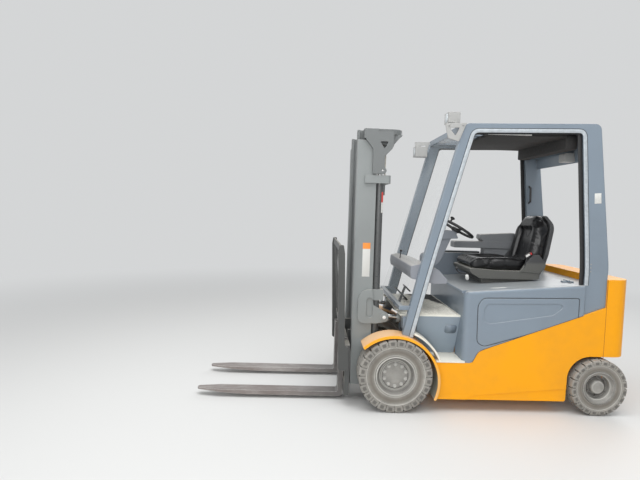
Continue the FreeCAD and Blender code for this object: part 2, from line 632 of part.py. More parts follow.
# Lifting cylinders and their rods.
LIFT = (ahead("lift_x"), "lift_y")
tube = cut("LiftTube", pole("Tube", "Z", "lift_radius", LIFT + ("lift_bottom",),
                            "lift_top - lift_bottom"),
           pole("TubeBore", "Z", "lift_bore", LIFT + ("lift_bottom + 20",),
                "lift_top - lift_bottom - 40"),
           pole("GlandBore", "Z", "lift_rod + touch_gap", LIFT + ("lift_top - 25",), "30"))
node("lift_cylinders", both("LiftCylinders", tube))
ROD_END = "1885"
rod = joined("LiftRod",
             pole("Rod", "Z", "lift_rod", LIFT + ("lift_bottom + 25",),
                  "%s + 20 - lift_bottom - 25" % ROD_END),
             pole("Piston", "Z", "lift_bore - touch_gap", LIFT + ("lift_bottom + 25",), "60"),
             block("RodEnd", (ahead("lift_x - 22"), ahead("lift_x + 22")), ("lift_y - 22", "gusset_in"),
                   (ROD_END, ROD_END + " + 50")))
node("lift_rods", both("LiftRods", rod))

# Inner mast: I-section rails, ties, bridges over the outer rails, lifting gussets and chain wheels.
bridge = block("Bridge", (ahead("top_tie_front"), ahead("287")),
               ("inner_out - inner_width", "gusset_in + gusset_plate"),
               ("rail_top + 10", "inner_top"))
G_TOP = "inner_top - 24"
gusset = slab("Gusset", "XZ_Plane", [
    (ahead("287"), G_TOP), (ahead("287"), "2170", "26"), (ahead("213"), "2076", "26"),
    (ahead("213"), "%s + 10" % TIE_TOP),
    (ahead("112"), "%s + 10" % TIE_TOP), (ahead("98"), "1906", "14"), (ahead("118"), "1938", "12"),
    (ahead("118"), "2019", "22"), (ahead("62"), "2078", "14"), (ahead("49"), "2104", "10"),
    (ahead("49"), G_TOP)],
    "gusset_in", "gusset_in + gusset_plate",
    [[(ahead("161"), "2137", "8"), (ahead("91"), "2137", "8"), (ahead("122"), "2078", "8")]])
pin_eye = pole("PinEye", "Y", "8", (ahead("130"), "gusset_in - 10", "1908"), "60")
top_tie = slab("TopTie", "XY_Plane", [
    (ahead("top_tie_rear"), "0"), (ahead("top_tie_rear"), "top_tie_half", "100"),
    (ahead("top_tie_front + 8"), "top_tie_half"),
    (ahead("top_tie_front + 8"), "top_tie_half - 70"), (ahead("top_tie_rear + 62"), "top_tie_half - 70",
                                                        "60"),
    (ahead("top_tie_rear + 62"), "0")], "inner_top - top_tie_plate + 6", "inner_top + 6")
tie_gusset = slab("TieGusset", "XZ_Plane", [
    (ahead("top_tie_rear + 8"), "inner_top - 34"), (ahead("150"), "inner_top - 34"),
    (ahead("150"), "inner_top - 110"),
    (ahead("52"), "inner_top - 132")], "top_tie_half - 34", "top_tie_half - 16")
WHEEL = (ahead("chain_wheel_x"), "chain_y - chain_width / 2 - 4", "chain_wheel_z")
chain_wheel = [
    pole("ChainWheel", "Y", "chain_wheel_radius - chain_depth / 2 - touch_gap", WHEEL,
         "chain_width + 8"),
    pole("ChainFlangeIn", "Y", "chain_wheel_radius + 6", WHEEL, "3.5"),
    pole("ChainFlangeOut", "Y", "chain_wheel_radius + 6",
         (WHEEL[0], "chain_y + chain_width / 2 + 0.5", WHEEL[2]), "3.5"),
    pole("ChainAxle", "Y", "16", (WHEEL[0], "chain_y", WHEEL[2]), "45"),
    block("ChainBracket", (ahead("chain_wheel_x - 24"), ahead("top_tie_front + 12")),
          ("222", "inner_out - inner_width + 12"),
          ("chain_wheel_z - 24", "inner_top")),
]
INNER_TIES = ("960", "1640")
inner_ties = []
for level in INNER_TIES:
    inner_ties.append(block("InnerTie", (ahead("146"), ahead("166")), ("0", "inner_out - 10"),
                            (level, level + " + 90")))
    inner_ties.append(block("TieSeat", (ahead("160"), INNER_X0),
                            ("inner_out - inner_width", "inner_out - 10"),
                            (level, level + " + 90")))
foot_tie = block("FootTie", (INNER_X0, ahead("rail_rear + 23")), ("0", "inner_out - inner_width + 5"),
                 ("inner_bottom", "inner_bottom + 80"))
ROLLER_OUT = "rail_out - rail_web - 2"
foot_roller = [
    pole("FootRoller", "Y", "rail_depth / 2 - rail_flange - 1",
         (OUTER_GROOVE_X, ROLLER_OUT + " - 38", "inner_bottom + 66"), "38"),
    pole("FootRollerPin", "Y", "20", (OUTER_GROOVE_X, INNER_MID, "inner_bottom + 66"),
         ROLLER_OUT + " - 30 - (%s)" % INNER_MID),
]
inner_left = joined("InnerLeft", inner_rail, bridge, cut("EyedGusset", gusset, pin_eye), top_tie,
                    tie_gusset,
                    foot_tie, *chain_wheel, *inner_ties, *foot_roller)
node("mast_inner_frame", joined("InnerMast", inner_left, mirrored(inner_left)))

# Lift chains: a run down to the carriage, the wrap over the wheel and the anchored run.
CHAIN_Y = ("chain_y - chain_width / 2", "chain_y + chain_width / 2")


def chain_run(label, middle, low, high):
    return block(label, ("%s - chain_depth / 2" % middle, "%s + chain_depth / 2" % middle), CHAIN_Y,
                 (low, high))


FRONT_RUN = ahead("chain_wheel_x + chain_wheel_radius")
REAR_RUN = ahead("chain_wheel_x - chain_wheel_radius")
ANCHOR_Z = "upper_bar_z + 120"
wrap = cut("Wrap", pole("WrapOut", "Y", "chain_wheel_radius + chain_depth / 2",
                        (WHEEL[0], CHAIN_Y[0], WHEEL[2]), "chain_width", 180, 180),
           pole("WrapIn", "Y", "chain_wheel_radius - chain_depth / 2",
                (WHEEL[0], CHAIN_Y[0] + " - 5", WHEEL[2]), "chain_width + 10"))
node("lift_chain_wraps", both("ChainWraps", wrap))
node("lift_chains_rear", both("ChainsRear", chain_run("RearRun", REAR_RUN, TIE_TOP, "chain_wheel_z")))
node("lift_chains_front", both("ChainsFront", chain_run("FrontRun", FRONT_RUN, ANCHOR_Z,
                                                        "chain_wheel_z")))

# Fork carriage with its rollers, and the load backrest.
BAR_X0 = ahead("carriage_rear")
BAR_X1 = ahead("carriage_rear + carriage_bar")
CHEEK = ("195", "220")
cheek = slab("Cheek", "XZ_Plane", [
    (BAR_X0, "lower_bar_z"), (BAR_X0, "upper_bar_z + 158"), (ahead("300"), "upper_bar_z + 158", "20"),
    (ahead("215"), "upper_bar_z + 118", "20"), (ahead("215"), "lower_bar_z + 58", "20"),
    (ahead("240"), "lower_bar_z + 8", "10")],
    CHEEK[0], CHEEK[1])
carriage = [cheek,
            block("ChainLug", (ahead("chain_wheel_x + chain_wheel_radius - 10"), ahead("225")),
                  ("186", "214"),
                  (ANCHOR_Z + " - 42", ANCHOR_Z)),
            block("EndPlate", (BAR_X0, BAR_X1), ("carriage_half - 14", "carriage_half"),
                  ("lower_bar_z", "upper_bar_z + fork_bar_height"))]
for level in ("lower_bar_z", "upper_bar_z"):
    carriage.append(block("ForkBar", (BAR_X0, BAR_X1), ("0", "carriage_half"),
                          (level, level + " + fork_bar_height")))
for level in ("lower_bar_z + 96", "upper_bar_z + 72"):
    carriage.append(pole("CarriageRoller", "Y", "inner_depth / 2 - rail_flange - 1",
                         (GROOVE_X, "(%s) - inner_web / 2 - 2 - roller_width" % INNER_MID, level),
                         "roller_width"))
    carriage.append(pole("RollerPin", "Y", "18", (GROOVE_X, "210", level), "30"))
half_carriage = joined("HalfCarriage", *carriage)
node("fork_carriage", joined("Carriage", half_carriage, mirrored(half_carriage)))

LEAN = "27"
REST_LOW = "upper_bar_z + fork_bar_height + 43"
post = slab("Post", "XZ_Plane", [
    (ahead("370"), "300"), (ahead("carriage_rear + 93"), "300", "20"),
    (ahead("carriage_rear + 95"), "400"),
    (ahead("carriage_rear + 93 + %s" % LEAN), "rest_top - 60", "20"),
    (ahead("carriage_rear + 84 + %s" % LEAN), "rest_top", "12"),
    (ahead("carriage_rear + 50 + %s" % LEAN), "rest_top", "10"),
    (ahead("carriage_rear + 38 + %s" % LEAN), "rest_top - 70", "20"), (ahead("400"), "500", "30"),
    (ahead("370"), "490", "10")],
    "carriage_half", "carriage_half + rest_plate")
rest = [post,
        slab("RestLowBar", "XZ_Plane", [(ahead("402"), REST_LOW), (ahead("402 + rest_plate"), REST_LOW),
                                        (ahead("404 + rest_plate"), REST_LOW + " + 50"),
                                        (ahead("404"), REST_LOW + " + 50")],
             "0", "carriage_half + 2"),
        slab("RestTopBar", "XZ_Plane", [(ahead("carriage_rear + 64 + %s" % LEAN), "rest_top - 60"),
                                        (ahead("carriage_rear + 64 + rest_plate + %s" % LEAN),
                                         "rest_top - 60"),
                                        (ahead("carriage_rear + 64 + rest_plate + %s" % LEAN),
                                         "rest_top - 4"),
                                        (ahead("carriage_rear + 64 + %s" % LEAN), "rest_top - 4")],
             "0", "carriage_half + 2")]
for start in ("140", "320"):
    rest.append(slab("RestBar", "XZ_Plane", [
        (ahead("404"), REST_LOW + " + 40"), (ahead("402 + rest_plate"), REST_LOW + " + 40"),
        (ahead("carriage_rear + 64 + rest_plate + %s" % LEAN), "rest_top - 50"),
        (ahead("carriage_rear + 66 + %s" % LEAN), "rest_top - 50")],
        start, start + " + 40"))
half_rest = joined("HalfRest", *rest)
node("load_backrest", joined("LoadBackrest", half_rest, mirrored(half_rest)))

# Forks: an L in side view, tapered in plan at the tip, with hooks over the fork bars.
FORK_X0 = ahead("carriage_rear + carriage_bar + touch_gap")
FORK_X1 = FORK_X0 + " + fork_thickness"
FORK_TIP = FORK_X1 + " + fork_length"
FORK_TOP = "fork_bottom + fork_thickness - 3"
fork_side = slab("ForkSide", "XZ_Plane", [
    (FORK_X0, "fork_bottom", "34"), (FORK_X1 + " + 760", "fork_bottom", "600"),
    (FORK_TIP, FORK_TOP + " - fork_tip_thickness"),
    (FORK_TIP, FORK_TOP), (FORK_X1, FORK_TOP, "18"), (FORK_X1, "fork_shank_top"),
    (FORK_X0, "fork_shank_top")],
    "fork_y - fork_width / 2", "fork_y + fork_width / 2")
fork_plan = slab("ForkPlan", "XY_Plane", [
    (FORK_X0 + " - 1", "fork_y - fork_width / 2 - 1"), (FORK_TIP + " - 190",
                                                        "fork_y - fork_width / 2 - 1", "200"),
    (FORK_TIP, "fork_y - 26", "24"), (FORK_TIP, "fork_y + 26", "24"),
    (FORK_TIP + " - 190", "fork_y + fork_width / 2 + 1", "200"),
    (FORK_X0 + " - 1", "fork_y + fork_width / 2 + 1")],
    "fork_bottom - 5", "fork_shank_top + 5")
HOOK_Y = ("fork_y - 40", "fork_y + 40")
hooks = [
    block("UpperHook", (ahead("carriage_rear + 8"), FORK_X0 + " + 1"), HOOK_Y,
          ("upper_bar_z + fork_bar_height + touch_gap", "fork_shank_top")),
    block("LowerHook", (ahead("carriage_rear + 8"), FORK_X0 + " + 1"), HOOK_Y,
          ("lower_bar_z - 20", "lower_bar_z - touch_gap")),
]
pair("fork", joined("Fork", common("ForkBlade", fork_side, fork_plan), *hooks))

# Tilt cylinders, from a bracket on the chassis to the mast's side plates.
TILT_RUN = math.hypot(size("tilt_pin_x - tilt_rear_x"), size("tilt_pin_z - tilt_rear_z"))
TILT_RISE = -math.degrees(math.atan2(size("tilt_pin_z - tilt_rear_z"), size("tilt_pin_x - tilt_rear_x")))
EYE_PLAY = "3"


def lay_along(item):
    """Turn a cylinder modelled along X from its rear pin to its place."""
    item.Placement = Placement(Vector(), Rotation(Vector(0, 1, 0), TILT_RISE))
    place(item, ahead("tilt_rear_x"), "tilt_y", "tilt_rear_z")
    return item


EYE_HALF = "tilt_eye_width / 2"
tilt_barrel = cut(
    "TiltBarrel",
    joined("BarrelBlank",
           pole("BarrelEye", "Y", "tilt_eye_radius", ("0", "-" + EYE_HALF, "0"), "tilt_eye_width"),
           block("BarrelNeck", ("0", "50"), ("-" + EYE_HALF, EYE_HALF), ("-18", "18")),
           pole("Barrel", "X", "tilt_tube_radius", ("40", "0", "0"), "tilt_tube_length"),
           pole("Gland", "X", "tilt_tube_radius + 5", ("18 + tilt_tube_length", "0", "0"), "22")),
    pole("BarrelPinBore", "Y", "tilt_pin_radius + pin_fit", ("0", "-40", "0"), "80"),
    pole("BarrelBore", "X", "tilt_rod_radius + 8", ("60", "0", "0"), "tilt_tube_length - 40"),
    pole("GlandBore", "X", "tilt_rod_radius + touch_gap", ("40", "0", "0"), "tilt_tube_length + 20"))
pair("tilt_cylinder", lay_along(tilt_barrel))
tilt_rod = cut(
    "TiltRod",
    joined("RodBlank",
           pole("RodShaft", "X", "tilt_rod_radius", ("160", "0", "0"),
                "%.4f - 160 - tilt_eye_radius + 4" % TILT_RUN),
           pole("RodPiston", "X", "tilt_rod_radius + 8 - touch_gap", ("160", "0", "0"), "40"),
           pole("RodEye", "Y", "tilt_eye_radius + 3", ("%.4f" % TILT_RUN, "-" + EYE_HALF, "0"),
                "tilt_eye_width")),
    pole("RodEyeBore", "Y", "tilt_pin_radius + " + EYE_PLAY, ("%.4f" % TILT_RUN, "-40", "0"), "80"))
pair("tilt_rod", lay_along(tilt_rod))

# Chassis: side skirts, belly plate, battery box walls and the brackets that carry axle and tilt cylinders.
SKIRT = ("body_half - skirt", "body_half")
TREAD_UNDER = "step_z - step_plate"
WEDGE = [(ahead("hood_front - 65"), TREAD_UNDER, "40"), (ahead("hood_front - 111"), "step_z + 82", "60"),
         (ahead("weight_front"), "866")]
skirt = slab("Skirt", "XZ_Plane", [
    (ahead("chassis_front + 36"), "chassis_bottom"), (ahead("chassis_front + 36"), TREAD_UNDER),
    WEDGE[0], WEDGE[1], WEDGE[2], (ahead("weight_front"), "weight_bottom"),
    (ahead("arch_radius - wheelbase"), "weight_bottom", "186"),
    (ahead("arch_radius - wheelbase"), "chassis_bottom", "20")],
    SKIRT[0], SKIRT[1])
FENDER_X = ahead("fender_x")
FENDER_Z = "front_tyre_radius - fender_drop"
fender_clear = pole("FenderClear", "Y", "fender_radius + fender_sheet + touch_gap",
                    (FENDER_X, "fender_in - touch_gap", FENDER_Z), "300")
WELL_REAR = "arch_radius - wheelbase + 32"
belly = block("Belly", (ahead(WELL_REAR), ahead("chassis_front + 20")), ("0", SKIRT[0] + " + 1"),
              ("chassis_bottom", "chassis_bottom + 20"))
liner = block("Liner", (ahead("chassis_front - 40"), ahead("chassis_front + 20")),
              ("fender_in", SKIRT[0] + " + 1"),
              ("chassis_bottom", TREAD_UNDER))
BOX_IN = "body_half - 65"
box_front = block("BoxFront", (ahead("hood_front - 15"), ahead("hood_front")), ("0", BOX_IN),
                  ("chassis_bottom", "floor_z - floor_plate"))
box_rear = block("BoxRear", (ahead(WELL_REAR), ahead(WELL_REAR) + " + 15"), ("0", SKIRT[0]),
                 ("chassis_bottom", "900"))
box_side = block("BoxSide", (ahead(WELL_REAR), ahead("hood_front")), (BOX_IN, BOX_IN + " + 10"),
                 ("chassis_bottom", "900"))
sill = block("Sill", (ahead(WELL_REAR), ahead("hood_front")), (BOX_IN + " + 5", SKIRT[0] + " + 1"),
             (TREAD_UNDER + " - 14", TREAD_UNDER))
axle_clamp = cut("AxleClamp", joined(
    "AxleArm",
    block("ArmPlate", (ahead("hood_front"), ahead("60")), ("185", "205"), ("230", "355")),
    pole("ClampRing", "Y", "axle_tube_radius + 38", (FRONT_X, "185", AXLE_Z), "20")),
    pole("ClampHole", "Y", "axle_tube_radius + touch_gap", (FRONT_X, "170", AXLE_Z), "60"))
LUG_IN = "tilt_y - tilt_eye_width / 2 - 6"
LUG_OUT = "tilt_y + tilt_eye_width / 2 + 6"
TILT_REAR = (ahead("tilt_rear_x"), "tilt_rear_z")
tilt_lugs = []
for low, high in ((LUG_IN + " - 20", LUG_IN), (LUG_OUT, LUG_OUT + " + 20")):
    tilt_lugs.append(block("TiltLug", (ahead("hood_front - 1"), TILT_REAR[0]), (low, high),
                           ("tilt_rear_z - 30", "tilt_rear_z + 30")))
    tilt_lugs.append(pole("TiltLugEnd", "Y", "30", (TILT_REAR[0], low, TILT_REAR[1]), "20"))
tilt_lugs.append(pole("RearPin", "Y", "tilt_pin_radius", (TILT_REAR[0], LUG_IN + " - 26", TILT_REAR[1]),
                      "tilt_eye_width + 64"))
# A shallow bevel runs along the lower edge of the skirt and deepens towards the rear wheel.
bevel = slab("Bevel", "XZ_Plane", [
    (ahead("chassis_front - 250"), "chassis_bottom - 5"), (ahead("chassis_front - 250"),
                                                           "chassis_bottom + 12"),
    (ahead("chassis_front - 300"), "chassis_bottom + 36", "60"),
    (ahead("arch_radius - wheelbase - 5"), "chassis_bottom + 104"),
    (ahead("arch_radius - wheelbase - 5"), "chassis_bottom - 5")], "body_half - 4", "body_half + 5")
skirt_shaped = cut("SkirtArched", joined("SkirtAndBelly", skirt, liner, belly), fender_clear, bevel)
half_chassis = joined("HalfChassis", skirt_shaped,
                      box_front, box_rear, box_side, sill, axle_clamp, *tilt_lugs)
node("chassis_frame", joined("Chassis", half_chassis, mirrored(half_chassis)))

BOX_CLEAR = "6"
node("battery", block("Battery", (ahead(WELL_REAR) + " + 15 + " + BOX_CLEAR,
                                  ahead("hood_front - 15 - " + BOX_CLEAR)),
                      ("6 - (%s)" % BOX_IN, "%s - 6" % BOX_IN), ("chassis_bottom + 20", "900")))

# Counterweight: a casting with rounded rear corners, over the steer axle and down behind it.
CORE = "200"
weight = joined(
    "WeightBlank",
    slab("WeightBody", "XY_Plane", [
        (ahead("weight_front"), "0"), (ahead("weight_front"), "body_half"),
        (ahead("weight_rear"), "body_half", "weight_corner"),
        (ahead("weight_rear"), "0")], "weight_bottom", "weight_top"),
    block("WeightCore", (ahead("weight_rear + 26"), ahead(WELL_REAR)), ("0", CORE),
          (pad_top, "weight_bottom + 10")),
    block("WeightFoot", (ahead("weight_rear + 26"), ahead("-wheelbase - 86")), ("0", CORE),
          ("190", pad_top + " + 10")))
TOW = (ahead("weight_rear"), "0", "600")
tow_slot = block("TowSlot", (TOW[0] + " - 10", TOW[0] + " + 72"), ("-1", "42"), ("586", "676"))
tow_hole = pole("TowHole", "Z", "15.1", (TOW[0] + " + 34", "0", "560"), "150")
half_weight = cut("HalfWeight", weight, tow_slot)
tow_pin = joined("TowPin", pole("TowRod", "Z", "15", (TOW[0] + " + 34", "0", "562"), "140"),
                 pole("TowKnob", "Z", "22", (TOW[0] + " + 34", "0", "700"), "14"))
node("counterweight", cut("Counterweight", joined("Weight", half_weight, mirrored(half_weight)),
                          tow_hole, pole("KnobHole", "Z", "24", (TOW[0] + " + 34", "0", "690"), "60")))
node("tow_pin", tow_pin)

# Front fenders: rolled sheets with an edge lip.
FENDER_START = 47
FENDER_SWEEP = 156


def arc_band(label, inner, outer, low, high, start, sweep):
    """A band about the fender's middle; its angles run from straight ahead over the top."""
    solid = doc.addObject("Part::Cylinder", label)
    solid.setExpression("Radius", tied(outer))
    solid.setExpression("Height", tied("(%s) - (%s)" % (high, low)))
    solid.Angle = sweep
    solid.Placement = Placement(Vector(), Rotation(Vector(1, 0, 0), 90) * Rotation(Vector(0, 0, 1),
                                                                                   start))
    place(solid, FENDER_X, high, FENDER_Z)
    return cut(label + "Band", solid, pole(label + "Core", "Y", inner,
                                           (FENDER_X, "(%s) - 5" % low, FENDER_Z),
                                           "(%s) - (%s) + 10" % (high, low)))


fender = joined("Fender",
                arc_band("FenderSheet", "fender_radius", "fender_radius + fender_sheet", "fender_in",
                         "fender_out",
                         FENDER_START, FENDER_SWEEP),
                arc_band("FenderLip", "fender_radius - fender_lip", "fender_radius + fender_sheet",
                         "fender_out - 8", "fender_out",
                         FENDER_START, FENDER_SWEEP))
node("front_fenders", both("Fenders", fender))

# Steps: tread plates with the guard strip over the fender, and the slanted riser behind them.
tread = joined("Tread",
               block("TreadInner", (ahead("hood_front"), ahead("chassis_front + 10")),
                     ("step_in", BOX_IN + " + 11"),
                     (TREAD_UNDER, "step_z")),
               block("TreadOuter", (ahead("hood_front - 8"), ahead("chassis_front + 10")),
                     (BOX_IN + " + 10", "body_half + 3"),
                     (TREAD_UNDER, "step_z")))
STRIP_START = 113
STRIP_SWEEP = 44
guard_strip = arc_band("StepGuard", "fender_radius + fender_sheet + 30",
                       "fender_radius + fender_sheet + 46",
                       "body_half - 125", "body_half", STRIP_START, STRIP_SWEEP)
node("steps", both("Steps", joined("Step", cut("TreadFitted", tread, fender_clear), guard_strip)))
RISER_FOOT = "step_in"
riser = slab("Riser", "YZ_Plane", [
    (RISER_FOOT, "step_z"), ("floor_half - 12", "floor_z - floor_plate"),
    ("floor_half", "floor_z - floor_plate"),
    (RISER_FOOT + " + 12", "step_z")], ahead("hood_front + 12"), ahead("-190"))
node("footwell_sides", both("Footwell", riser))

# Cab floor, battery box front, body sides and hood.
floor_plate = block("CabFloor", (ahead("hood_front + 12"), ahead("floor_front")),
                    ("-floor_half", "floor_half"), ("floor_z - floor_plate", "floor_z"))
# The tilt cylinders rise into a notch each as the mast leans back.
tilt_notch = block(
    "TiltNotch", (ahead("tilt_rear_x + tilt_tube_length - 40"), ahead("floor_front + 10")),
    ("tilt_y - tilt_tube_radius - 10", "tilt_y + tilt_tube_radius + 10"),
    ("floor_z - floor_plate - 10", "floor_z + 10"))
node("cab_floor", cut("NotchedFloor", floor_plate, tilt_notch, mirrored(tilt_notch)))
HOOD_UNDER = "hood_front_z - hood_wall"
CORNER = "45"
WELL_IN = "body_half - 205"
WELL_OUT = "body_half - %s - touch_gap" % CORNER
BOX_FACE = (ahead("hood_front"), ahead("hood_front + 12"))
BOX_HIGH = HOOD_UNDER + " - touch_gap"
seat_box = joined("SeatBox",
                  block("BoxFace", BOX_FACE, ("-(%s)" % BOX_IN, BOX_IN),
                        ("floor_z - floor_plate", BOX_HIGH)),
                  block("WellFaceLeft", BOX_FACE, (WELL_IN, WELL_OUT), ("step_z", BOX_HIGH)),
                  block("WellFaceRight", BOX_FACE, ("-(%s)" % WELL_OUT, "-(%s)" % WELL_IN),
                        ("step_z", BOX_HIGH)))
node("seat_box_front", seat_box)
GUARD_IN = "(guard_out - guard_post)"
LEG_FRONT = "-1484"
RISE = "(hood_rear_z - hood_front_z) / (hood_front - hood_rear)"


def hood_z(x):
    """Hood height at a distance ahead of the axle, along its slope."""
    return "hood_front_z + (hood_front - (%s)) * %s" % (x, RISE)


def wedge_z(x):
    """Height of the seam between skirt and side panel, along its slope."""
    start = "(hood_front - 111)"
    return "(%s) + (%s - (%s)) * (866 - (%s)) / (%s - weight_front)" % (WEDGE[1][1], start, x,
                                                                        WEDGE[1][1], start)


PANEL_FRONT = "hood_front + 12"
panel_side = slab("PanelSide", "XZ_Plane", [
    (ahead(PANEL_FRONT), TREAD_UNDER + " + step_plate + touch_gap"),
    (ahead("hood_front - 9"), "step_z + touch_gap"),
    (ahead("hood_front - 9"), TREAD_UNDER), WEDGE[0], WEDGE[1],
    (ahead(LEG_FRONT), wedge_z(LEG_FRONT)), (ahead(LEG_FRONT), hood_z(LEG_FRONT)),
    (ahead(PANEL_FRONT), hood_z(PANEL_FRONT), "40")], "body_half - %s" % CORNER, "body_half + 1")
# In plan the panel turns a round corner in front of the battery box.
panel_plan = slab("PanelPlan", "XY_Plane", [
    (ahead(PANEL_FRONT), "body_half - %s" % CORNER), (ahead(PANEL_FRONT), "body_half", "44"),
    (ahead(LEG_FRONT + " - 1"), "body_half"), (ahead(LEG_FRONT + " - 1"), SKIRT[0]),
    (ahead("hood_front - 15"), SKIRT[0], "14"), (ahead("hood_front - 15"), "body_half - %s" % CORNER)],
    "chassis_bottom", "hood_rear_z + 50")
# Pressed outline and lens: ahead of the axle, height, bend
OUTLINE = [("-1448", "940", "24"), ("-672", "925", "60"), ("-632", "860", "60"), ("-637", "560", "40"),
           ("-700", "528", "40"),
           ("-1448", "%s - 34" % wedge_z("-1448"), "30")]
LENS = [("-688", "830", "24"), ("-716", "876", "24"), ("-1290", "888", "30"), ("-1322", "862", "20"),
        ("-1240", "795", "60"), ("-740", "716", "30"), ("-686", "738", "20")]
GROOVE = "9"


def inset(corners, by):
    """The outline's corners drawn in towards its middle by a set distance."""
    at = [Vector(size(x), size(z), 0) for x, z, bend in corners]
    middle = Vector()
    for point in at:
        middle = middle + point * (1 / len(at))
    drawn = []
    for k, (x, z, bend) in enumerate(corners):
        back = (at[k - 1] - at[k]).normalize()
        onward = (at[(k + 1) % len(at)] - at[k]).normalize()
        inward = (back + onward).normalize()
        if inward.dot(middle - at[k]) < 0:
            inward = inward * -1
        step = inward * (size(by) / math.sin(back.getAngle(onward) / 2))
        drawn.append(("%s + %.3f" % (x, step.x), "%s + %.3f" % (z, step.y), "%s - %s" % (bend, by)))
    return drawn


def face_cut(label, corners, deep):
    """A tool that cuts a flat pressing `deep` into the panel's outer face."""
    return slab(label, "XZ_Plane", [(ahead(x), z, bend) for x, z, bend in corners],
                "body_half - %s" % deep, "body_half + 5")


ring = cut("Groove", face_cut("GrooveOut", OUTLINE, "3"),
           face_cut("GrooveIn", inset(OUTLINE, GROOVE), "8"))
pressed = cut("PanelPressed", common("PanelSheet", panel_side, panel_plan), ring,
              face_cut("Lens", LENS, "4"))
shoulder = slab("PanelShoulder", "XZ_Plane", [
    (ahead("hood_front - 15"), hood_z("hood_front - 15") + " - 36"),
    (ahead(LEG_FRONT), hood_z(LEG_FRONT) + " - 36"),
    (ahead(LEG_FRONT), hood_z(LEG_FRONT)), (ahead("hood_front - 15"), hood_z("hood_front - 15"), "22")],
    "hood_left + move_gap", SKIRT[0] + " + 1")
# The panel's upper edge is rounded along its length.
EDGE_ROUND = "20"
fall = math.degrees(math.atan(size(RISE)))
rounder = cut("RounderBar",
              block("RounderBox", ("-1100", "0"), ("-(%s)" % EDGE_ROUND, "5"),
                    ("-(%s)" % EDGE_ROUND, "5")),
              pole("RounderCore", "X", EDGE_ROUND, ("-1101", "-(%s)" % EDGE_ROUND, "-(%s)" % EDGE_ROUND),
                   "1102"))
rounder.Placement = Placement(Vector(), Rotation(Vector(0, 1, 0), fall))
place(rounder, ahead(PANEL_FRONT), "body_half", hood_z(PANEL_FRONT))
panels = doc.addObject("Part::Compound", "SidePanels")
panels.Links = [cut("LeftPanel", joined("LeftWhole", pressed, shoulder), rounder), mirrored(pressed)]
node("side_panels", panels)
HINGE = (ahead("hinge_x"), "hinge_z")
HINGE_AT = ("-250", "350")
HINGE_HALF = "20"
hood_plate = slab("HoodPlate", "XZ_Plane", [
    (ahead("hood_front + 22"), HOOD_UNDER, "6"), (ahead("hood_front + 22"), hood_z("hood_front + 22"),
                                                  "14"),
    (ahead("hood_rear"), hood_z("hood_rear")), (ahead("hood_rear"),
                                                hood_z("hood_rear") + " - hood_wall"),
    (ahead("hood_front"), HOOD_UNDER)], "hood_right", "hood_left")
hood_whole = [hood_plate]
deck_hinges = []
bores = []
for middle in HINGE_AT:
    hood_whole.append(pole("HoodBarrel", "Y", "hinge_barrel",
                           (HINGE[0], "%s - %s" % (middle, HINGE_HALF), HINGE[1]),
                           "2 * " + HINGE_HALF))
    hood_whole.append(block("HoodLeaf", (HINGE[0], ahead("hinge_x + 40")),
                            ("%s - %s" % (middle, HINGE_HALF),
                            "%s + %s" % (middle, HINGE_HALF)), (hood_z("hinge_x") + " - 8", HINGE[1])))
    bores.append(pole("HingeBore", "Y", "hinge_pin + pivot_fit",
                      (HINGE[0], "%s - 30" % middle, HINGE[1]), "60"))
    for side in ("-", "+"):
        low = "%s %s %s %s touch_gap" % (middle, side, HINGE_HALF,
                                         side) + (" - 22" if side == "-" else "")
        deck_hinges.append(pole("DeckBarrel", "Y", "hinge_barrel", (HINGE[0], low, HINGE[1]), "22"))
        deck_hinges.append(block("DeckLeaf", (ahead("hood_rear - 22"), HINGE[0]), (low, low + " + 22"),
                                 (hood_z("hood_rear") + " + 1.5", "hinge_z + 3")))
        deck_hinges.append(block("DeckFoot", (ahead("hood_rear - 22"), ahead("hood_rear - 8")),
                                 (low, low + " + 22"),
                                 ("hood_rear_z - 10", "hinge_z + 3")))
    deck_hinges.append(pole("HingePin", "Y", "hinge_pin", (HINGE[0], "%s - 40" % middle, HINGE[1]),
                            "80"))
node("hood", cut("Hood", joined("HoodWhole", *hood_whole), *bores))
node("side_console", slab("Console", "XZ_Plane", [
    (ahead("-410"), "1010"), (ahead("-410"), "1160", "40"), (ahead("-480"), "1192", "40"),
    (ahead("-1452"), "1192", "20"),
    (ahead("-1452"), hood_z("hood_rear") + " - 30"), (ahead("hood_front - 31"), "hood_front_z - 30"),
    (ahead("hood_front - 31"), "hood_front_z + 4")],
    "-(%s)" % SKIRT[0], "hood_right - move_gap"))
node("rear_deck", joined("RearDeck", block("DeckPlate", (ahead("weight_front"), ahead("hood_rear - 8")),
                                           ("1 - (%s)" % GUARD_IN, "%s - 1" % GUARD_IN),
                                           ("hood_rear_z - 32", "hood_rear_z - 6")), *deck_hinges))

# Overhead guard: two side frames, cross members, pillar feet and the roof.
GUARD = ("guard_out - guard_post", "guard_out")
PILLAR_REAR = "-1668"
side_frame = slab("SideFrame", "XZ_Plane", [
    (ahead("-48"), "585"), (ahead("-176"), "1150", "900"), (ahead("-466"), "roof_front_z", "60"),
    (ahead("-1532"), "roof_rear_z", "50"), (ahead(PILLAR_REAR), "1167", "700"),
    (ahead("weight_front"), "weight_top", "10"),
    (ahead("weight_front"), "868"), (ahead(LEG_FRONT), wedge_z(LEG_FRONT)),
    (ahead("-1487"), "1190", "800"), (ahead("-1398"), "roof_rear_z - roof_rail - 6", "34"),
    (ahead("-548"), "roof_front_z - roof_rail - 2", "26"), (ahead("-265"), "1150", "900"),
    (ahead("-131"), "585")],
    GUARD[0], GUARD[1])
foot = block("PillarFoot", (ahead("-140"), ahead("-62")), ("floor_half - 50", GUARD[0] + " + 1"),
             ("640", "floor_z - floor_plate"))
BEAM_UNDER = "roof_front_z - 52"
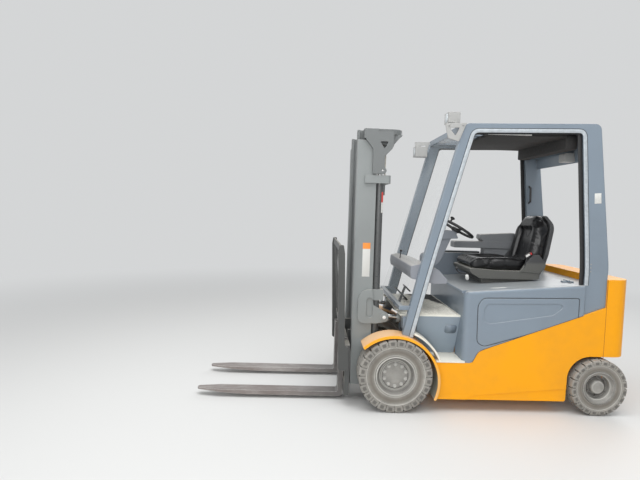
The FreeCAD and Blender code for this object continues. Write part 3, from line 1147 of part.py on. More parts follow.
front_beam = block("FrontBeam", (ahead("-505"), ahead("-452")), ("0", GUARD[0] + " + 1"),
                   (BEAM_UNDER, "roof_front_z - 4"))
rear_beam = block("RearBeam", (ahead("-1520"), ahead("-1440")), ("0", GUARD[0] + " + 1"),
                  ("roof_rear_z - 56", "roof_rear_z - 8"))
header = slab("Header", "XZ_Plane", [
    (ahead("-1500"), "roof_rear_z - 50"), (ahead("-1515"), "roof_rear_z - 50"), (ahead("-1545"), "2035"),
    (ahead("-1530"), "2035")], "0", GUARD[0] + " + 1")
shelf_bar = block("CrossBar", (ahead("-58"), ahead("-22")), ("0", "body_half - 70"), ("798", "832"))
bar_arm = block("CrossBarArm", (ahead("-125"), ahead("-22")), ("body_half - 90", "body_half - 55"),
                ("798", "832"))
half_guard = cut("HalfGuard", joined("HalfGuardWhole", side_frame, foot, front_beam, rear_beam, header,
                                     shelf_bar, bar_arm),
                 fender_clear)
node("overhead_guard", joined("Guard", half_guard, mirrored(half_guard)))
ROOF = ("roof_front_z - 40", "roof_front_z - 40 + roof_sheet")
roof = block("RoofSheet", (ahead("-1440"), ahead("-505")), ("-(%s)" % GUARD[0], GUARD[0]), ROOF)
slots = []
pitch = "(2 * (%s)) / (roof_slots + 1)" % GUARD[0]
for k in range(1, int(size("roof_slots")) + 1):
    middle = "%s * %d - (%s)" % (pitch, k, GUARD[0])
    slots.append(block("RoofSlot", (ahead("-1380"), ahead("-570")),
                       ("%s - 30" % middle, "%s + 30" % middle),
                       (ROOF[0] + " - 5", ROOF[1] + " + 5")))
node("roof_panel", cut("Roof", roof, *slots))

# Cowl across the cab front, and the windscreens above and below it.
cowl = slab("Cowl", "XZ_Plane", [
    (ahead("-112"), "1052", "12"), (ahead("-104"), "1100", "30"), (ahead("-109"), "1150", "14"),
    (ahead("-180"), "1168", "40"),
    (ahead("-330"), "1128", "50"), (ahead("-408"), "1046", "14"), (ahead("-398"), "1016", "14"),
    (ahead("-300"), "1012")],
    "-(%s)" % GUARD[0], GUARD[0])
PIVOT = (ahead("pivot_x"), "pivot_z")
CHEEK_IN = "(column_half + move_gap)"
NOTCH = "50"
cheek = joined("Cheek",
               block("CheekPlate", (ahead("pivot_x - 24"), ahead("pivot_x + 24")),
                     (CHEEK_IN, CHEEK_IN + " + 10"),
                     ("pivot_z - 68", PIVOT[1])),
               pole("CheekEnd", "Y", "24", (PIVOT[0], CHEEK_IN, PIVOT[1]), "10"))
notch = pole("ColumnNotch", "Y", NOTCH, (PIVOT[0], "-%s" % CHEEK_IN, PIVOT[1]), "2 * " + CHEEK_IN)
pivot_bore = pole("PivotBore", "Y", "8 + pivot_fit", (PIVOT[0], "-70", PIVOT[1]), "140")
node("cowl", cut("CowlNotched", joined("CowlWhole", cowl, cheek, mirrored(cheek)), notch, pivot_bore))
upper_glass = slab("UpperGlass", "XZ_Plane", [
    (ahead("-134"), "1163"), (ahead("-134 - glass"), "1165"),
    (ahead("-452 - glass - 1"), BEAM_UNDER + " - touch_gap"),
    (ahead("-452"), BEAM_UNDER + " - touch_gap")], "2 - %s" % GUARD_IN, "%s - 2" % GUARD_IN)
lower_glass = slab("LowerGlass", "XZ_Plane", [
    (ahead("-40"), "832"), (ahead("-46"), "832"), (ahead("-113"), "1053"), (ahead("-107"), "1053")],
    "75 - body_half", "body_half - 75")
windscreens = doc.addObject("Part::Compound", "Windscreens")
windscreens.Links = [upper_glass, lower_glass]
node("windscreens", windscreens)

# Steering column and wheel.
SLOPE = math.radians(size("wheel_slope"))
COLUMN_AXIS = Vector(-math.sin(SLOPE), 0, math.cos(SLOPE))
HUB = Vector(size(ahead("wheel_x")), 0, size("wheel_z"))


def along_column(item, down):
    """Set a piece modelled up Z on the column's axis, `down` below the wheel."""
    item.Placement = Placement(HUB - COLUMN_AXIS * down, Rotation(Vector(0, 1, 0), -math.degrees(SLOPE)))
    doc.recompute()
    return item


neck = slab("ColumnNeck", "XZ_Plane", [
    (ahead("-345"), "1130"), (ahead("-335"), "1185", "20"), (ahead("-420"), "1352"),
    (ahead("-552"), "1362"),
    (ahead("-462"), "1150", "16"), (ahead("-398"), "1092")], "-column_half", "column_half")
column_foot = pole("ColumnFoot", "Y", "%s - 8" % NOTCH, (PIVOT[0], "-column_half", PIVOT[1]),
                   "2 * column_half")
cover = slab("ColumnCover", "XZ_Plane", [
    (ahead("-412"), "1346", "8"), (ahead("-436"), "1424", "14"), (ahead("-542"), "1426", "20"),
    (ahead("-592"), "1394", "16"),
    (ahead("-611"), "1356", "8")], "-column_half - 12", "column_half + 12")
column_top = along_column(shaped("ColumnTop", Part.makeCylinder(26, 62)), 80)
pivot_pin = pole("PivotPin", "Y", "8", (PIVOT[0], "-(%s + 9)" % CHEEK_IN, PIVOT[1]),
                 "2 * (%s + 9)" % CHEEK_IN)
node("steering_column", joined("Column", neck, column_foot, cover, column_top, pivot_pin))


def round_bar(label, reach, grip, sides):
    """A ring about Z whose section has a few flat sides."""
    corners = []
    for k in range(sides):
        angle = 2 * math.pi * (k + 0.5) / sides
        corners.append(Vector(reach + grip * math.cos(angle), 0, grip * math.sin(angle)))
    return Part.Face(Part.makePolygon(corners + corners[:1])).revolve(Vector(), Vector(0, 0, 1), 360)


hub = Part.makeCone(44, 34, 34, Vector(0, 0, -17.5))
wheel_shape = round_bar("Ring", size("wheel_ring"), size("wheel_grip"), 8).fuse([hub])
for turn in (90, 210, 330):
    spoke = Part.makeBox(size("wheel_ring") - 28, 26, 9, Vector(28, -13, -9))
    spoke.rotate(Vector(), Vector(0, 0, 1), turn)
    wheel_shape = wheel_shape.fuse(spoke)
KNOB_TURN = 45
knob_foot = Vector(size("wheel_ring") * math.cos(math.radians(KNOB_TURN)),
                   size("wheel_ring") * math.sin(math.radians(KNOB_TURN)), 8)
knob = Part.makeCylinder(9, 26, knob_foot).fuse([
    Part.makeCone(16, 21, 14, knob_foot + Vector(0, 0, 24)), Part.makeCone(21, 10, 12,
                                                                           knob_foot + Vector(0, 0,
                                                                                              38))])
node("steering_wheel", along_column(shaped("SteeringWheel", wheel_shape.fuse(knob)), 0))

# Seat with its frame, and the armrest console beside it.
TRAY_UNDER = "tray_top - 77"
tray = slab("SeatTray", "XZ_Plane", [
    (ahead("seat_front"), "tray_top + 6", "12"), (ahead("seat_front - 14"), "tray_top - 32", "30"),
    (ahead("seat_front - 92"), TRAY_UNDER, "40"), (ahead("seat_rear"), TRAY_UNDER, "16"),
    (ahead("seat_rear"), "tray_top - 6"), (ahead("-900"), "tray_top - 6"),
    (ahead("seat_front - 40"), "tray_top + 8", "20")],
    "-seat_half", "seat_half")
seat_foot = slab("SeatFoot", "XZ_Plane", [
    (ahead("-790"), TRAY_UNDER + " + 1"), (ahead("-1240"), TRAY_UNDER + " + 1"),
    (ahead("-1240"), hood_z("-1240")),
    (ahead("-790"), hood_z("-790"))], "-170", "170")
recliner = slab("Recliner", "XZ_Plane", [
    (ahead("-1090"), "tray_top - 8"), (ahead("-1140"), "tray_top + 64", "30"),
    (ahead("-1196"), "tray_top + 132", "24"),
    (ahead("-1248"), "tray_top + 138", "20"), (ahead("-1310"), "tray_top + 60", "16"),
    (ahead("-1300"), "tray_top + 20"),
    (ahead("seat_rear"), "tray_top - 20")], "seat_half - 10", "seat_half + 8")
# Front view of the seat back: out from the middle, height, bend
BACK_FRONT = [("-190", "tray_top - 50"), ("-226", "tray_top + 140", "60"),
              ("-212", "back_top - 120", "90"), ("-96", "back_top", "70"),
              ("96", "back_top", "70"), ("212", "back_top - 120", "90"), ("226", "tray_top + 140", "60"),
              ("190", "tray_top - 50")]
shell = common("SeatShell", slab("ShellSide", "XZ_Plane", [
    (ahead("seat_rear + 6"), "tray_top - 34"), (ahead("-1284"), "tray_top + 12"),
    (ahead("-1358"), "back_top - 72", "60"),
    (ahead("-1330"), "back_top - 12", "10"), (ahead("-1362"), "back_top - 12", "14"),
    (ahead("-1390"), "back_top - 76", "60"),
    (ahead("-1314"), "tray_top + 12"), (ahead("seat_rear - 26"), "tray_top - 40")],
    "-230", "230"), slab("ShellFront", "YZ_Plane", BACK_FRONT, ahead("-1500"), ahead("-1100")))
node("seat_frame", joined("SeatFrame", tray, seat_foot, recliner, mirrored(recliner), shell))
CUSHION_UNDER = "tray_top - 6 + touch_gap"
cushion_side = slab("CushionSide", "XZ_Plane", [
    (ahead("seat_front - 44"), "tray_top + 8 + touch_gap"), (ahead("seat_front - 8"), "tray_top + 22",
                                                             "10"),
    (ahead("seat_front - 8"), "seat_top - 40", "22"), (ahead("seat_front - 50"), "seat_top - 8", "40"),
    (ahead("-1000"), "seat_top", "200"), (ahead("-1150"), "seat_top - 14", "20"),
    (ahead("-1172"), CUSHION_UNDER),
    (ahead("-902"), CUSHION_UNDER)], "-228", "228")
cushion_plan = slab("CushionPlan", "XY_Plane", [
    (ahead("seat_front - 2"), "-228", "60"), (ahead("seat_front - 2"), "228", "60"),
    (ahead("-1180"), "203", "20"),
    (ahead("-1180"), "-203", "20")], "tray_top - 30", "seat_top + 20")
dip = slab("CushionDip", "XZ_Plane", [
    (ahead("seat_front - 70"), "seat_top + 30"), (ahead("seat_front - 70"), "seat_top - 10", "40"),
    (ahead("-1000"), "seat_top - bolster", "200"), (ahead("-1120"), "seat_top - bolster"),
    (ahead("-1120"), "seat_top + 30")],
    "-140", "140")
node("seat_cushion", cut("SeatCushion", common("CushionBlank", cushion_side, cushion_plan), dip))
back_side = slab("BackSide", "XZ_Plane", [
    (ahead("-1190"), "tray_top + 12"), (ahead("-1174"), "tray_top + 74", "30"),
    (ahead("-1238"), "back_top - 90", "200"),
    (ahead("-1268"), "back_top", "24"), (ahead("-1318"), "back_top", "20"),
    (ahead("-1358 + touch_gap"), "back_top - 72", "60"),
    (ahead("-1284 + touch_gap"), "tray_top + 12")], "-230", "230")
channel = slab("BackChannel", "XZ_Plane", [
    (ahead("-1100"), "tray_top + 60"), (ahead("-1174 - bolster"), "tray_top + 90", "30"),
    (ahead("-1236 - bolster"), "back_top - 130", "60"), (ahead("-1180"), "back_top - 60")], "-128",
    "128")
seat_back = common("BackBlank", back_side, slab("BackFront", "YZ_Plane", BACK_FRONT, ahead("-1500"),
                                                ahead("-1100")))
node("seat_back", cut("SeatBack", seat_back, channel))
ARM_UNDER = "1254"
node("armrest_console", joined(
    "Armrest",
    slab("ArmBox", "XZ_Plane", [
        (ahead("-671"), ARM_UNDER, "10"), (ahead("-671"), ARM_UNDER + " + 60", "18"),
        (ahead("-1290"), ARM_UNDER + " + 66", "12"),
        (ahead("-1290"), ARM_UNDER + " - 8", "12"), (ahead("-1200"), ARM_UNDER)], "hood_right + 6",
        "-258"),
    slab("ArmPad", "XZ_Plane", [
        (ahead("-950"), ARM_UNDER + " + 60"), (ahead("-917"), ARM_UNDER + " + 92", "14"),
        (ahead("-922"), ARM_UNDER + " + 128", "14"),
        (ahead("-1250"), ARM_UNDER + " + 150", "16"), (ahead("-1262"), ARM_UNDER + " + 62")],
        "hood_right + 12", "-264"),
    slab("ArmStand", "XZ_Plane", [
        (ahead("-964"), ARM_UNDER + " + 6"), (ahead("-1280"), ARM_UNDER + " + 6"),
        (ahead("-1280"), hood_z("-1280")),
        (ahead("-964"), hood_z("-964"))], "hood_right + 20", "-272")))
node("pedals", joined("Pedals",
     slab("PedalRight", "XZ_Plane", [(ahead("-235"), "floor_z"), (ahead("-110"), "880"),
                                     (ahead("-100"), "872"), (ahead("-215"), "floor_z")],
          "-170", "-95"),
     slab("PedalLeft", "XZ_Plane", [(ahead("-205"), "880"), (ahead("-160"), "925"),
                                    (ahead("-152"), "917"), (ahead("-197"), "872")],
          "-40", "70"),
     slab("PedalStalk", "XZ_Plane", [(ahead("-170"), "905"), (ahead("-120"), "floor_z"),
                                     (ahead("-100"), "floor_z"), (ahead("-155"), "915")],
          "5", "25")))

# Work lamps with their brackets.
bracket = slab("LampBracket", "XZ_Plane", [
    (ahead("-313"), "2270", "8"), (ahead("-480"), "2276"), (ahead("-425"), "2133", "8"),
    (ahead("-338"), "2158", "10")],
    "guard_out", "guard_out + 8",
    [[(ahead("-350"), "2234", "6"), (ahead("-428"), "2240", "6"), (ahead("-396"), "2172", "6")]])
lamp_arm = block("LampArm", (ahead("-410"), ahead("-390")), ("410", "guard_out + 4"), ("2272", "2286"))
lamp = block("LampUp", (ahead("-445"), ahead("-353")), ("372", "488"), ("2286", "2368"))
right_bracket = mirrored(bracket)
low_arm = block("LampLowArm", (ahead("-360"), ahead("-340")), ("-(guard_out + 4)", "-470"),
                ("2205", "2225"))
low_lamp = block("LampLow", (ahead("-404"), ahead("-290")), ("71 - body_half", "183 - body_half"),
                 ("2110", "2205.5"))
rear_lamp = slab("LampRear", "XZ_Plane", [
    (ahead("-1440"), "2042", "10"), (ahead("-1440"), "2116", "10"), (ahead("-1518.5"), "2116"),
    (ahead("-1528.7"), "2042")],
    "100", "200")
lamps = doc.addObject("Part::Compound", "Lamps")
lamps.Links = [joined("LeftLamp", bracket, lamp_arm, lamp),
               joined("RightLamp", right_bracket, low_arm, low_lamp), rear_lamp]
node("work_lamps", lamps)

# Grab handles: a long one inside the left front pillar, a short one inside the right rear pillar.


def handle(label, path, radius):
    """A round bar bent along a path; it runs a little into the pillar at both ends."""
    line = Part.makePolygon(path)
    nose = Part.Wire(Part.makeCircle(radius, path[0], line.OrderedEdges[0].tangentAt(0)))
    return shaped(label, line.makePipeShell([nose], True, False, 2))


# Ahead of the axle, in from the pillar's inner face, height
FRONT_PATH = [Vector(size(ahead(x)), size(GUARD[0]) - out, z) for x, out, z in (
    ("-395", 4, 1905), ("-412", 34, 1860), ("-352", 34, 1500), ("-272", 4, 1352))]
REAR_PATH = [Vector(size(ahead(x)), out - size(GUARD[0]), z) for x, out, z in (
    ("-1462", -4, 1862), ("-1462", 30, 1844), ("-1466", 30, 1716), ("-1466", -4, 1698))]
node("grab_handle", cut("GrabHandle", handle("HandleBar", FRONT_PATH, 10), side_frame))
node("rear_grab_handle", cut("RearGrabHandle", handle("RearHandleBar", REAR_PATH, 9),
                             mirrored(side_frame)))

os.makedirs("parts", exist_ok=True)
doc.recompute()
for item in doc.Objects:
    if "Invalid" in item.State or "Error" in item.State:
        raise RuntimeError("%s failed" % item.Label)
for name, item in nodes.items():
    if item.Shape.isNull() or not item.Shape.isValid():
        raise RuntimeError("%s is not a valid solid" % name)
for name, item in nodes.items():
    item.Shape.exportStep("parts/%s.step" % name)
    box = item.Shape.BoundBox
    print("%-22s %d solids  X %.0f..%.0f  Y %.0f..%.0f  Z %.0f..%.0f" % (
        name, len(item.Shape.Solids), box.XMin, box.XMax, box.YMin, box.YMax, box.ZMin, box.ZMax))
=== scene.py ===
# %% [markdown]
# # Dressing an electric counterbalance truck
# The truck arrives as exact engineering solids, one per sub-part, already in metres and in place.
# This lesson turns them into a picture of a working machine: clean orange skirts under a blue-grey cab,
# dusty solid tyres, a black padded seat, leaf chains behind the mast. The solids are the frame that
# everything hangs on, so they are loaded first and nothing on them is moved.

# %% Load the frame
import json
import math

import bpy
from mathutils import Matrix, Vector

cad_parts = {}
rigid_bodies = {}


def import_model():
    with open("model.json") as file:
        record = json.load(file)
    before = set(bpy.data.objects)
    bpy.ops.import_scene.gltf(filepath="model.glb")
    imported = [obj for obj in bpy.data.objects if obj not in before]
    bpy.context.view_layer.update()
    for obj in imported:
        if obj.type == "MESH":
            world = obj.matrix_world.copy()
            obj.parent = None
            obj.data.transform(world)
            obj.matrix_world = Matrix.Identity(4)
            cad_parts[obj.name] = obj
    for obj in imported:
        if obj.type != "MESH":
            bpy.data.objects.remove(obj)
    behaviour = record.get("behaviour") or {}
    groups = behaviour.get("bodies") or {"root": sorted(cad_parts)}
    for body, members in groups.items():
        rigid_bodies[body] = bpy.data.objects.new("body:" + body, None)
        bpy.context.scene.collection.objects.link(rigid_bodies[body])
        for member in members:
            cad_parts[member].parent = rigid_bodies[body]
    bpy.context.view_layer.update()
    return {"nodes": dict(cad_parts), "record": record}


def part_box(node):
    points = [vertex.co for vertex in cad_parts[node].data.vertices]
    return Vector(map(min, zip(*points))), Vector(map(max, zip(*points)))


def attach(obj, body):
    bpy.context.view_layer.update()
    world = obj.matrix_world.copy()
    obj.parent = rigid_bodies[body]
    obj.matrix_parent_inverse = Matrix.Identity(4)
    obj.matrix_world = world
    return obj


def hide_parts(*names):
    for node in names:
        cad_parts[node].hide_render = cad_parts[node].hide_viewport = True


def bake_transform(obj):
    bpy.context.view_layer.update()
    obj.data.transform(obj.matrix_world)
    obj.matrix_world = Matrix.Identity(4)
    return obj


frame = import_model()
rim_low, rim_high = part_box("front_rim_left")
AXLE_X = (rim_low.x + rim_high.x) / 2
BODY_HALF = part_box("chassis_frame")[1].y
GUARD_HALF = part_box("overhead_guard")[1].y

# %% [markdown]
# ## Looking from where the photographer stood
# The photographer stood on the truck's left, a little over head height of a seated driver, about four
# metres away, with a wide phone lens. A camera is easiest to set from its viewing direction: the
# direction, the image's right-hand side and its upward side make the three columns of its turn.

# %% Camera
YAW, PITCH, ROLL = math.radians(1.3308), math.radians(3.8121), math.radians(1.6802)
EYE = Vector((0.8348, 4.2848, 1.5916))
SENSOR_MM, LENS_MM = 36, 27.16
view_line = Vector((-math.sin(YAW) * math.cos(PITCH), -math.cos(YAW) * math.cos(PITCH), -math.sin(PITCH)))
level_right = Vector((-math.cos(YAW), math.sin(YAW), 0))
level_up = level_right.cross(view_line)
right = level_right * math.cos(ROLL) + level_up * math.sin(ROLL)
up = right.cross(view_line)
turn = Matrix((right, up, -view_line)).transposed()
bpy.ops.object.camera_add(location=EYE)
camera = bpy.context.object
camera.name = "photo_camera"
camera.rotation_euler = turn.to_euler()
camera.data.sensor_width, camera.data.lens = SENSOR_MM, LENS_MM
bpy.context.scene.camera = camera
print("camera", [round(v, 3) for v in camera.location], "lens", camera.data.lens)

# %% [markdown]
# ## A plain room
# A hangar's light is soft: a bright sky through rooflights and pale walls. A big pale floor that never
# ends, one wide soft lamp overhead and a weaker one from the open side do the same with no set to build.

# %% Floor, lamps and world
def clear():
    if bpy.context.mode != "OBJECT":
        bpy.ops.object.mode_set(mode="OBJECT")
    bpy.ops.object.select_all(action="DESELECT")


clear()
bpy.ops.mesh.primitive_plane_add(size=60, location=(0, 0, 0))
floor = bpy.context.object
floor.name = "floor"


def area_lamp(name, place, aim, width, power):
    """A soft rectangular lamp at a place, turned to face the point aimed at."""
    bpy.ops.object.light_add(type="AREA", location=place)
    lamp = bpy.context.object
    lamp.name = name
    lamp.data.shape = "RECTANGLE"
    lamp.data.size, lamp.data.size_y = width
    lamp.data.energy = power
    lamp.rotation_euler = (Vector(aim) - Vector(place)).to_track_quat("-Z", "Y").to_euler()
    return lamp


area_lamp("roof_light", (0.5, 1.5, 6.0), (0, 0, 0.8), (7, 5), 420)
area_lamp("door_light", (2.0, 6.5, 2.8), (0, 0, 1.0), (6, 3), 190)
area_lamp("back_light", (-4.0, -5.0, 4.0), (0, 0, 1.0), (5, 3), 130)
PALE, SKY_LIGHT = (0.66, 0.67, 0.675, 1), (0.395, 0.405, 0.415, 1)


def seen_directly(tree):
    """1 for what is seen straight on, in a gloss or through glass, 0 for light that falls on the truck."""
    path = tree.nodes.new("ShaderNodeLightPath")
    total = path.outputs["Is Camera Ray"]
    for name in ("Is Glossy Ray", "Is Transmission Ray"):
        add = tree.nodes.new("ShaderNodeMath")
        add.operation = "MAXIMUM"
        tree.links.new(total, add.inputs[0])
        tree.links.new(path.outputs[name], add.inputs[1])
        total = add.outputs[0]
    return total


world = bpy.data.worlds.new("soft_sky")
world.use_nodes = True
sky = world.node_tree
blend = sky.nodes.new("ShaderNodeMix")
blend.data_type = "RGBA"
blend.inputs[6].default_value, blend.inputs[7].default_value = SKY_LIGHT, PALE
sky.links.new(seen_directly(sky), blend.inputs[0])
sky.links.new(blend.outputs[2], sky.nodes["Background"].inputs["Color"])
bpy.context.scene.world = world
bpy.context.scene.view_settings.view_transform = "Standard"

# %% [markdown]
# ## Shader maths as Python
# A finish is a recipe of masks: where dust settles, where a boot scuffs, where an edge is worn bright.
# Masks are arithmetic, so a small class lets Python's own operators add the Math nodes.

# %% A socket that can be added and multiplied
def operator(name, swapped=False):
    """A method that joins the mask to another value with a Math node."""
    def joined_to(self, other):
        return self.sum(name, *((other, self) if swapped else (self, other)))
    return joined_to


class Mask:
    """The output of a node, for use in arithmetic."""

    def __init__(self, finish, socket):
        self.finish = finish
        self.socket = socket

    def sum(self, operation, *values, clamp=False):
        return self.finish.node("ShaderNodeMath", {"operation": operation, "use_clamp": clamp}, *values)

    __add__ = __radd__ = operator("ADD")
    __mul__ = __rmul__ = operator("MULTIPLY")
    __sub__, __rsub__ = operator("SUBTRACT"), operator("SUBTRACT", True)
    __pow__ = operator("POWER")

    def clamped(self):
        return self.sum("MAXIMUM", self, 0.0, clamp=True)

    def absolute(self):
        return self.sum("ABSOLUTE", self)

    def near(self, value, reach):
        """1 at the value, falling to 0 at that reach on both sides."""
        return (1.0 - (self - value).absolute() * (1 / reach)).clamped()

    def stepped(self, low, high):
        """0 at the low value, 1 at the high one, smooth between."""
        return self.finish.node("ShaderNodeMapRange", {"interpolation_type": "SMOOTHSTEP"},
                                Value=self, **{"From Min": low, "From Max": high})

# %% A material with the few calls that its recipes need
class Finish:
    """A material that is put together from masks."""

    def __init__(self, name):
        self.material = bpy.data.materials.new(name)
        self.material.use_nodes = True
        self.tree = self.material.node_tree
        self.shader = self.tree.nodes["Principled BSDF"]

    def fill(self, socket, value):
        if isinstance(value, Mask):
            self.tree.links.new(value.socket, socket)
        elif socket.type == "RGBA" and len(value) == 3:
            socket.default_value = (*value, 1)
        else:
            socket.default_value = value

    def node(self, kind, settings, *values, output=0, **named):
        made = self.tree.nodes.new(kind)
        for key, value in settings.items():
            setattr(made, key, value)
        for socket, value in zip(made.inputs, values):
            self.fill(socket, value)
        for key, value in named.items():
            self.fill(made.inputs[key], value)
        return Mask(self, made.outputs[output])

    def place(self):
        return self.node("ShaderNodeTexCoord", {}, output="Object")

    def along(self, axis):
        """A coordinate of the point: X is ahead, Y left and Z up."""
        return self.node("ShaderNodeSeparateXYZ", {}, self.place(), output=axis)

    def polar(self, centre):
        """Distance and angle of the point about an axle whose X and Z are given."""
        reach_x = self.along("X") - centre[0]
        reach_z = self.along("Z") - centre[1]
        radius = (reach_x * reach_x + reach_z * reach_z) ** 0.5
        return radius, self.node("ShaderNodeMath", {"operation": "ARCTAN2"}, reach_z, reach_x)

    def upward(self):
        """How far the surface faces up, -1 to 1."""
        normal = self.node("ShaderNodeNewGeometry", {}, output="Normal")
        return self.node("ShaderNodeSeparateXYZ", {}, normal, output="Z")

    def noise(self, scale, detail=3.0, rough=0.5, stretch=(1, 1, 1)):
        where = self.place()
        if stretch != (1, 1, 1):
            where = self.node("ShaderNodeMapping", {}, where, Scale=stretch)
        return self.node("ShaderNodeTexNoise", {}, Vector=where, Scale=scale, Detail=detail, Roughness=rough)

    def mix(self, mask, first, second):
        """The first colour where the mask is 0, the second where it is 1."""
        made = self.tree.nodes.new("ShaderNodeMix")
        made.data_type = "RGBA"
        self.fill(made.inputs[0], mask)
        self.fill(made.inputs[6], first)
        self.fill(made.inputs[7], second)
        return Mask(self, made.outputs[2])

    def round_edges(self, radius):
        return self.node("ShaderNodeBevel", {"samples": 4}, Radius=radius)

    def edges(self, radius):
        """1 on outer edges, 0 on flat faces; it places both wear and painted edge highlights."""
        flat = self.node("ShaderNodeNewGeometry", {}, output="Normal")
        bent = self.round_edges(radius)
        match = self.node("ShaderNodeVectorMath", {"operation": "DOT_PRODUCT"}, flat, bent, output="Value")
        return (1.0 - match).stepped(0.03, 0.25)

    def bump(self, height, strength, distance, base=None):
        named = {"Height": height, "Strength": strength, "Distance": distance}
        if base is not None:
            named["Normal"] = base
        return self.node("ShaderNodeBump", {}, **named)

    def set(self, **sockets):
        for key, value in sockets.items():
            self.fill(self.shader.inputs[key.replace("_", " ")], value)
        return self.material

    def skin(self, colour, rough, relief, strength, depth, radius, **more):
        """Colour and roughness over a fine relief, on edges that look rounded to a radius."""
        normal = self.bump(relief, strength, depth, self.round_edges(radius))
        return self.set(Base_Color=colour, Roughness=rough, Normal=normal, **more)


print("shader calls:", [call for call in vars(Finish) if not call.startswith("_")])

# %% [markdown]
# ## Paint that works for a living
# Every painted part has the same story with other numbers: even enamel with a faint waviness, pale dust
# on what faces up, scuffs along the sides, edges rubbed through, and a painted highlight that lightens
# every outer edge. So one recipe takes the colour and how much of each. The sides of this truck are wiped
# clean, so most of the dust lies on ledges.

# %% The paint recipe
DUST = (0.52, 0.49, 0.43)
GRIME = (0.07, 0.062, 0.052)


def paint(name, colour, rough, dust, grime, worn, wear_and_highlight_colour=(0.30, 0.28, 0.26), edge=0.004, edge_highlight=0.0,
          soft=None, gloss=0.5):
    """The amount of painted edge highlight lightens all outer edges towards the wear colour; soft is the
    radius to which edges look rounded.
    """
    finish = Finish(name)
    finish.set(Specular_IOR_Level=gloss)
    broad = finish.noise(2.3, 4.0, 0.6)
    fine = finish.noise(55, 3.0, 0.6)
    faded = finish.mix(broad.stepped(0.35, 0.75), colour, tuple(min(1, c * 0.88 + 0.012) for c in colour))
    lying = finish.upward().stepped(0.55, 1.0) * dust
    settled = (lying * (broad * 0.7 + fine * 0.6 + 0.25)).clamped()
    dusty = finish.mix(settled, faded, DUST)
    streak = finish.noise(7, 5.0, 0.7, (1, 1, 0.35)).stepped(0.62, 0.82) * grime
    dirty = finish.mix(streak, dusty, GRIME)
    rubbed = (finish.edges(edge) * finish.noise(21, 4.0, 0.65).stepped(0.42, 0.62) * worn).clamped()
    scuffed = (finish.noise(16, 6.0, 0.75, (0.35, 1, 2.2)).stepped(0.70, 0.76) * worn * 0.6).clamped()
    # Painted highlight: all outer edges are lightened towards the wear colour, as if light caught them.
    painted_edge_highlight = finish.edges(edge) * edge_highlight
    colour_out = finish.mix((rubbed + scuffed + painted_edge_highlight).clamped(), dirty, wear_and_highlight_colour)
    roughness = (rough + settled * 0.3 + streak * 0.2 + fine * 0.06).clamped()
    return finish.skin(colour_out, roughness, fine, 0.08, 0.0006, soft or edge)


ORANGE = (0.93, 0.385, 0.006)
BLUE_GREY = (0.215, 0.262, 0.312)
MAST_GREY = (0.235, 0.252, 0.25)
# Wear colour of the blue-grey paint, and also the colour of its painted edge highlight.
WEAR_AND_HIGHLIGHT_BLUE = (0.50, 0.53, 0.56)
# The edge highlight share given to a paint is a painted highlight on all of its outer edges.
paints = {
    "yellow": paint("orange_enamel", ORANGE, 0.34, 0.05, 0.04, 0.1, (0.95, 0.55, 0.12), edge_highlight=0.25, gloss=0.22),
    "blue_grey": paint("blue_grey_enamel", BLUE_GREY, 0.22, 0.4, 0.12, 0.3, WEAR_AND_HIGHLIGHT_BLUE, edge_highlight=0.45, soft=0.009),
    "mast_grey": paint("mast_enamel", MAST_GREY, 0.40, 0.3, 0.30, 0.45, (0.46, 0.45, 0.43), edge_highlight=0.3),
    "fork_steel": paint("rest_paint", (0.06, 0.062, 0.06), 0.42, 0.4, 0.3, 0.7, (0.30, 0.28, 0.26), edge_highlight=0.3),
    "beige": paint("dusty_plate", (0.80, 0.79, 0.71), 0.75, 0.2, 0.25, 0.3, (0.50, 0.49, 0.44)),
    "cast": paint("axle_paint", (0.03, 0.03, 0.03), 0.6, 0.7, 0.4, 0.2),
    "battery": paint("tray_paint", (0.05, 0.055, 0.06), 0.5, 0.5, 0.3, 0.2),
    "lamp": paint("lamp_paint", (0.40, 0.40, 0.39), 0.35, 0.3, 0.2, 0.2, edge_highlight=0.4),
    "black": paint("black_moulding", (0.022, 0.022, 0.024), 0.45, 0.25, 0.1, 0.0, edge=0.006),
}
own_paints = {
    "cowl": paint("cowl_moulding", (0.25, 0.262, 0.29), 0.5, 0.55, 0.2, 0.0, edge=0.01),
    "side_console": paint("console_moulding", (0.20, 0.235, 0.275), 0.4, 0.45, 0.12, 0.0, edge=0.012),
    "armrest_console": paint("armrest_moulding", (0.215, 0.225, 0.238), 0.45, 0.5, 0.12, 0.0, edge=0.012),
    "steering_column": paint("column_moulding", (0.22, 0.24, 0.27), 0.5, 0.35, 0.15, 0.0, edge=0.01),
    "footwell_sides": paint("well_enamel", (0.29, 0.35, 0.41), 0.4, 0.6, 0.15, 0.3, WEAR_AND_HIGHLIGHT_BLUE),
    # Painted shade: the inner mast is painted darker than the outer mast, for the shade in its channels.
    "mast_inner_frame": paint("inner_mast_painted_shade", (0.15, 0.16, 0.16), 0.45, 0.3, 0.4, 0.5, (0.4, 0.39, 0.37)),
    "lift_cylinders": paint("cylinder_enamel", (0.075, 0.078, 0.078), 0.25, 0.2, 0.2, 0.3),
}
print("painted finishes:", len(paints) + len(own_paints))


# %% [markdown]
# ## Forks, fenders and rubber
# Some finishes change along the piece. A fork blade is rubbed to bare steel towards its tip. The
# fender is clean orange on its lip, browned on top and coated with pale dust on the tail behind the
# wheel. Solid tyres are light grey with scuffs and dust where they stand proud. Their slots and a brown
# ring on the concave sidewall are darkened as painted shade, and two pale rings and the outer edges are
# lightened as painted highlights; these rings are placed by the distance to the wheel's own axle.

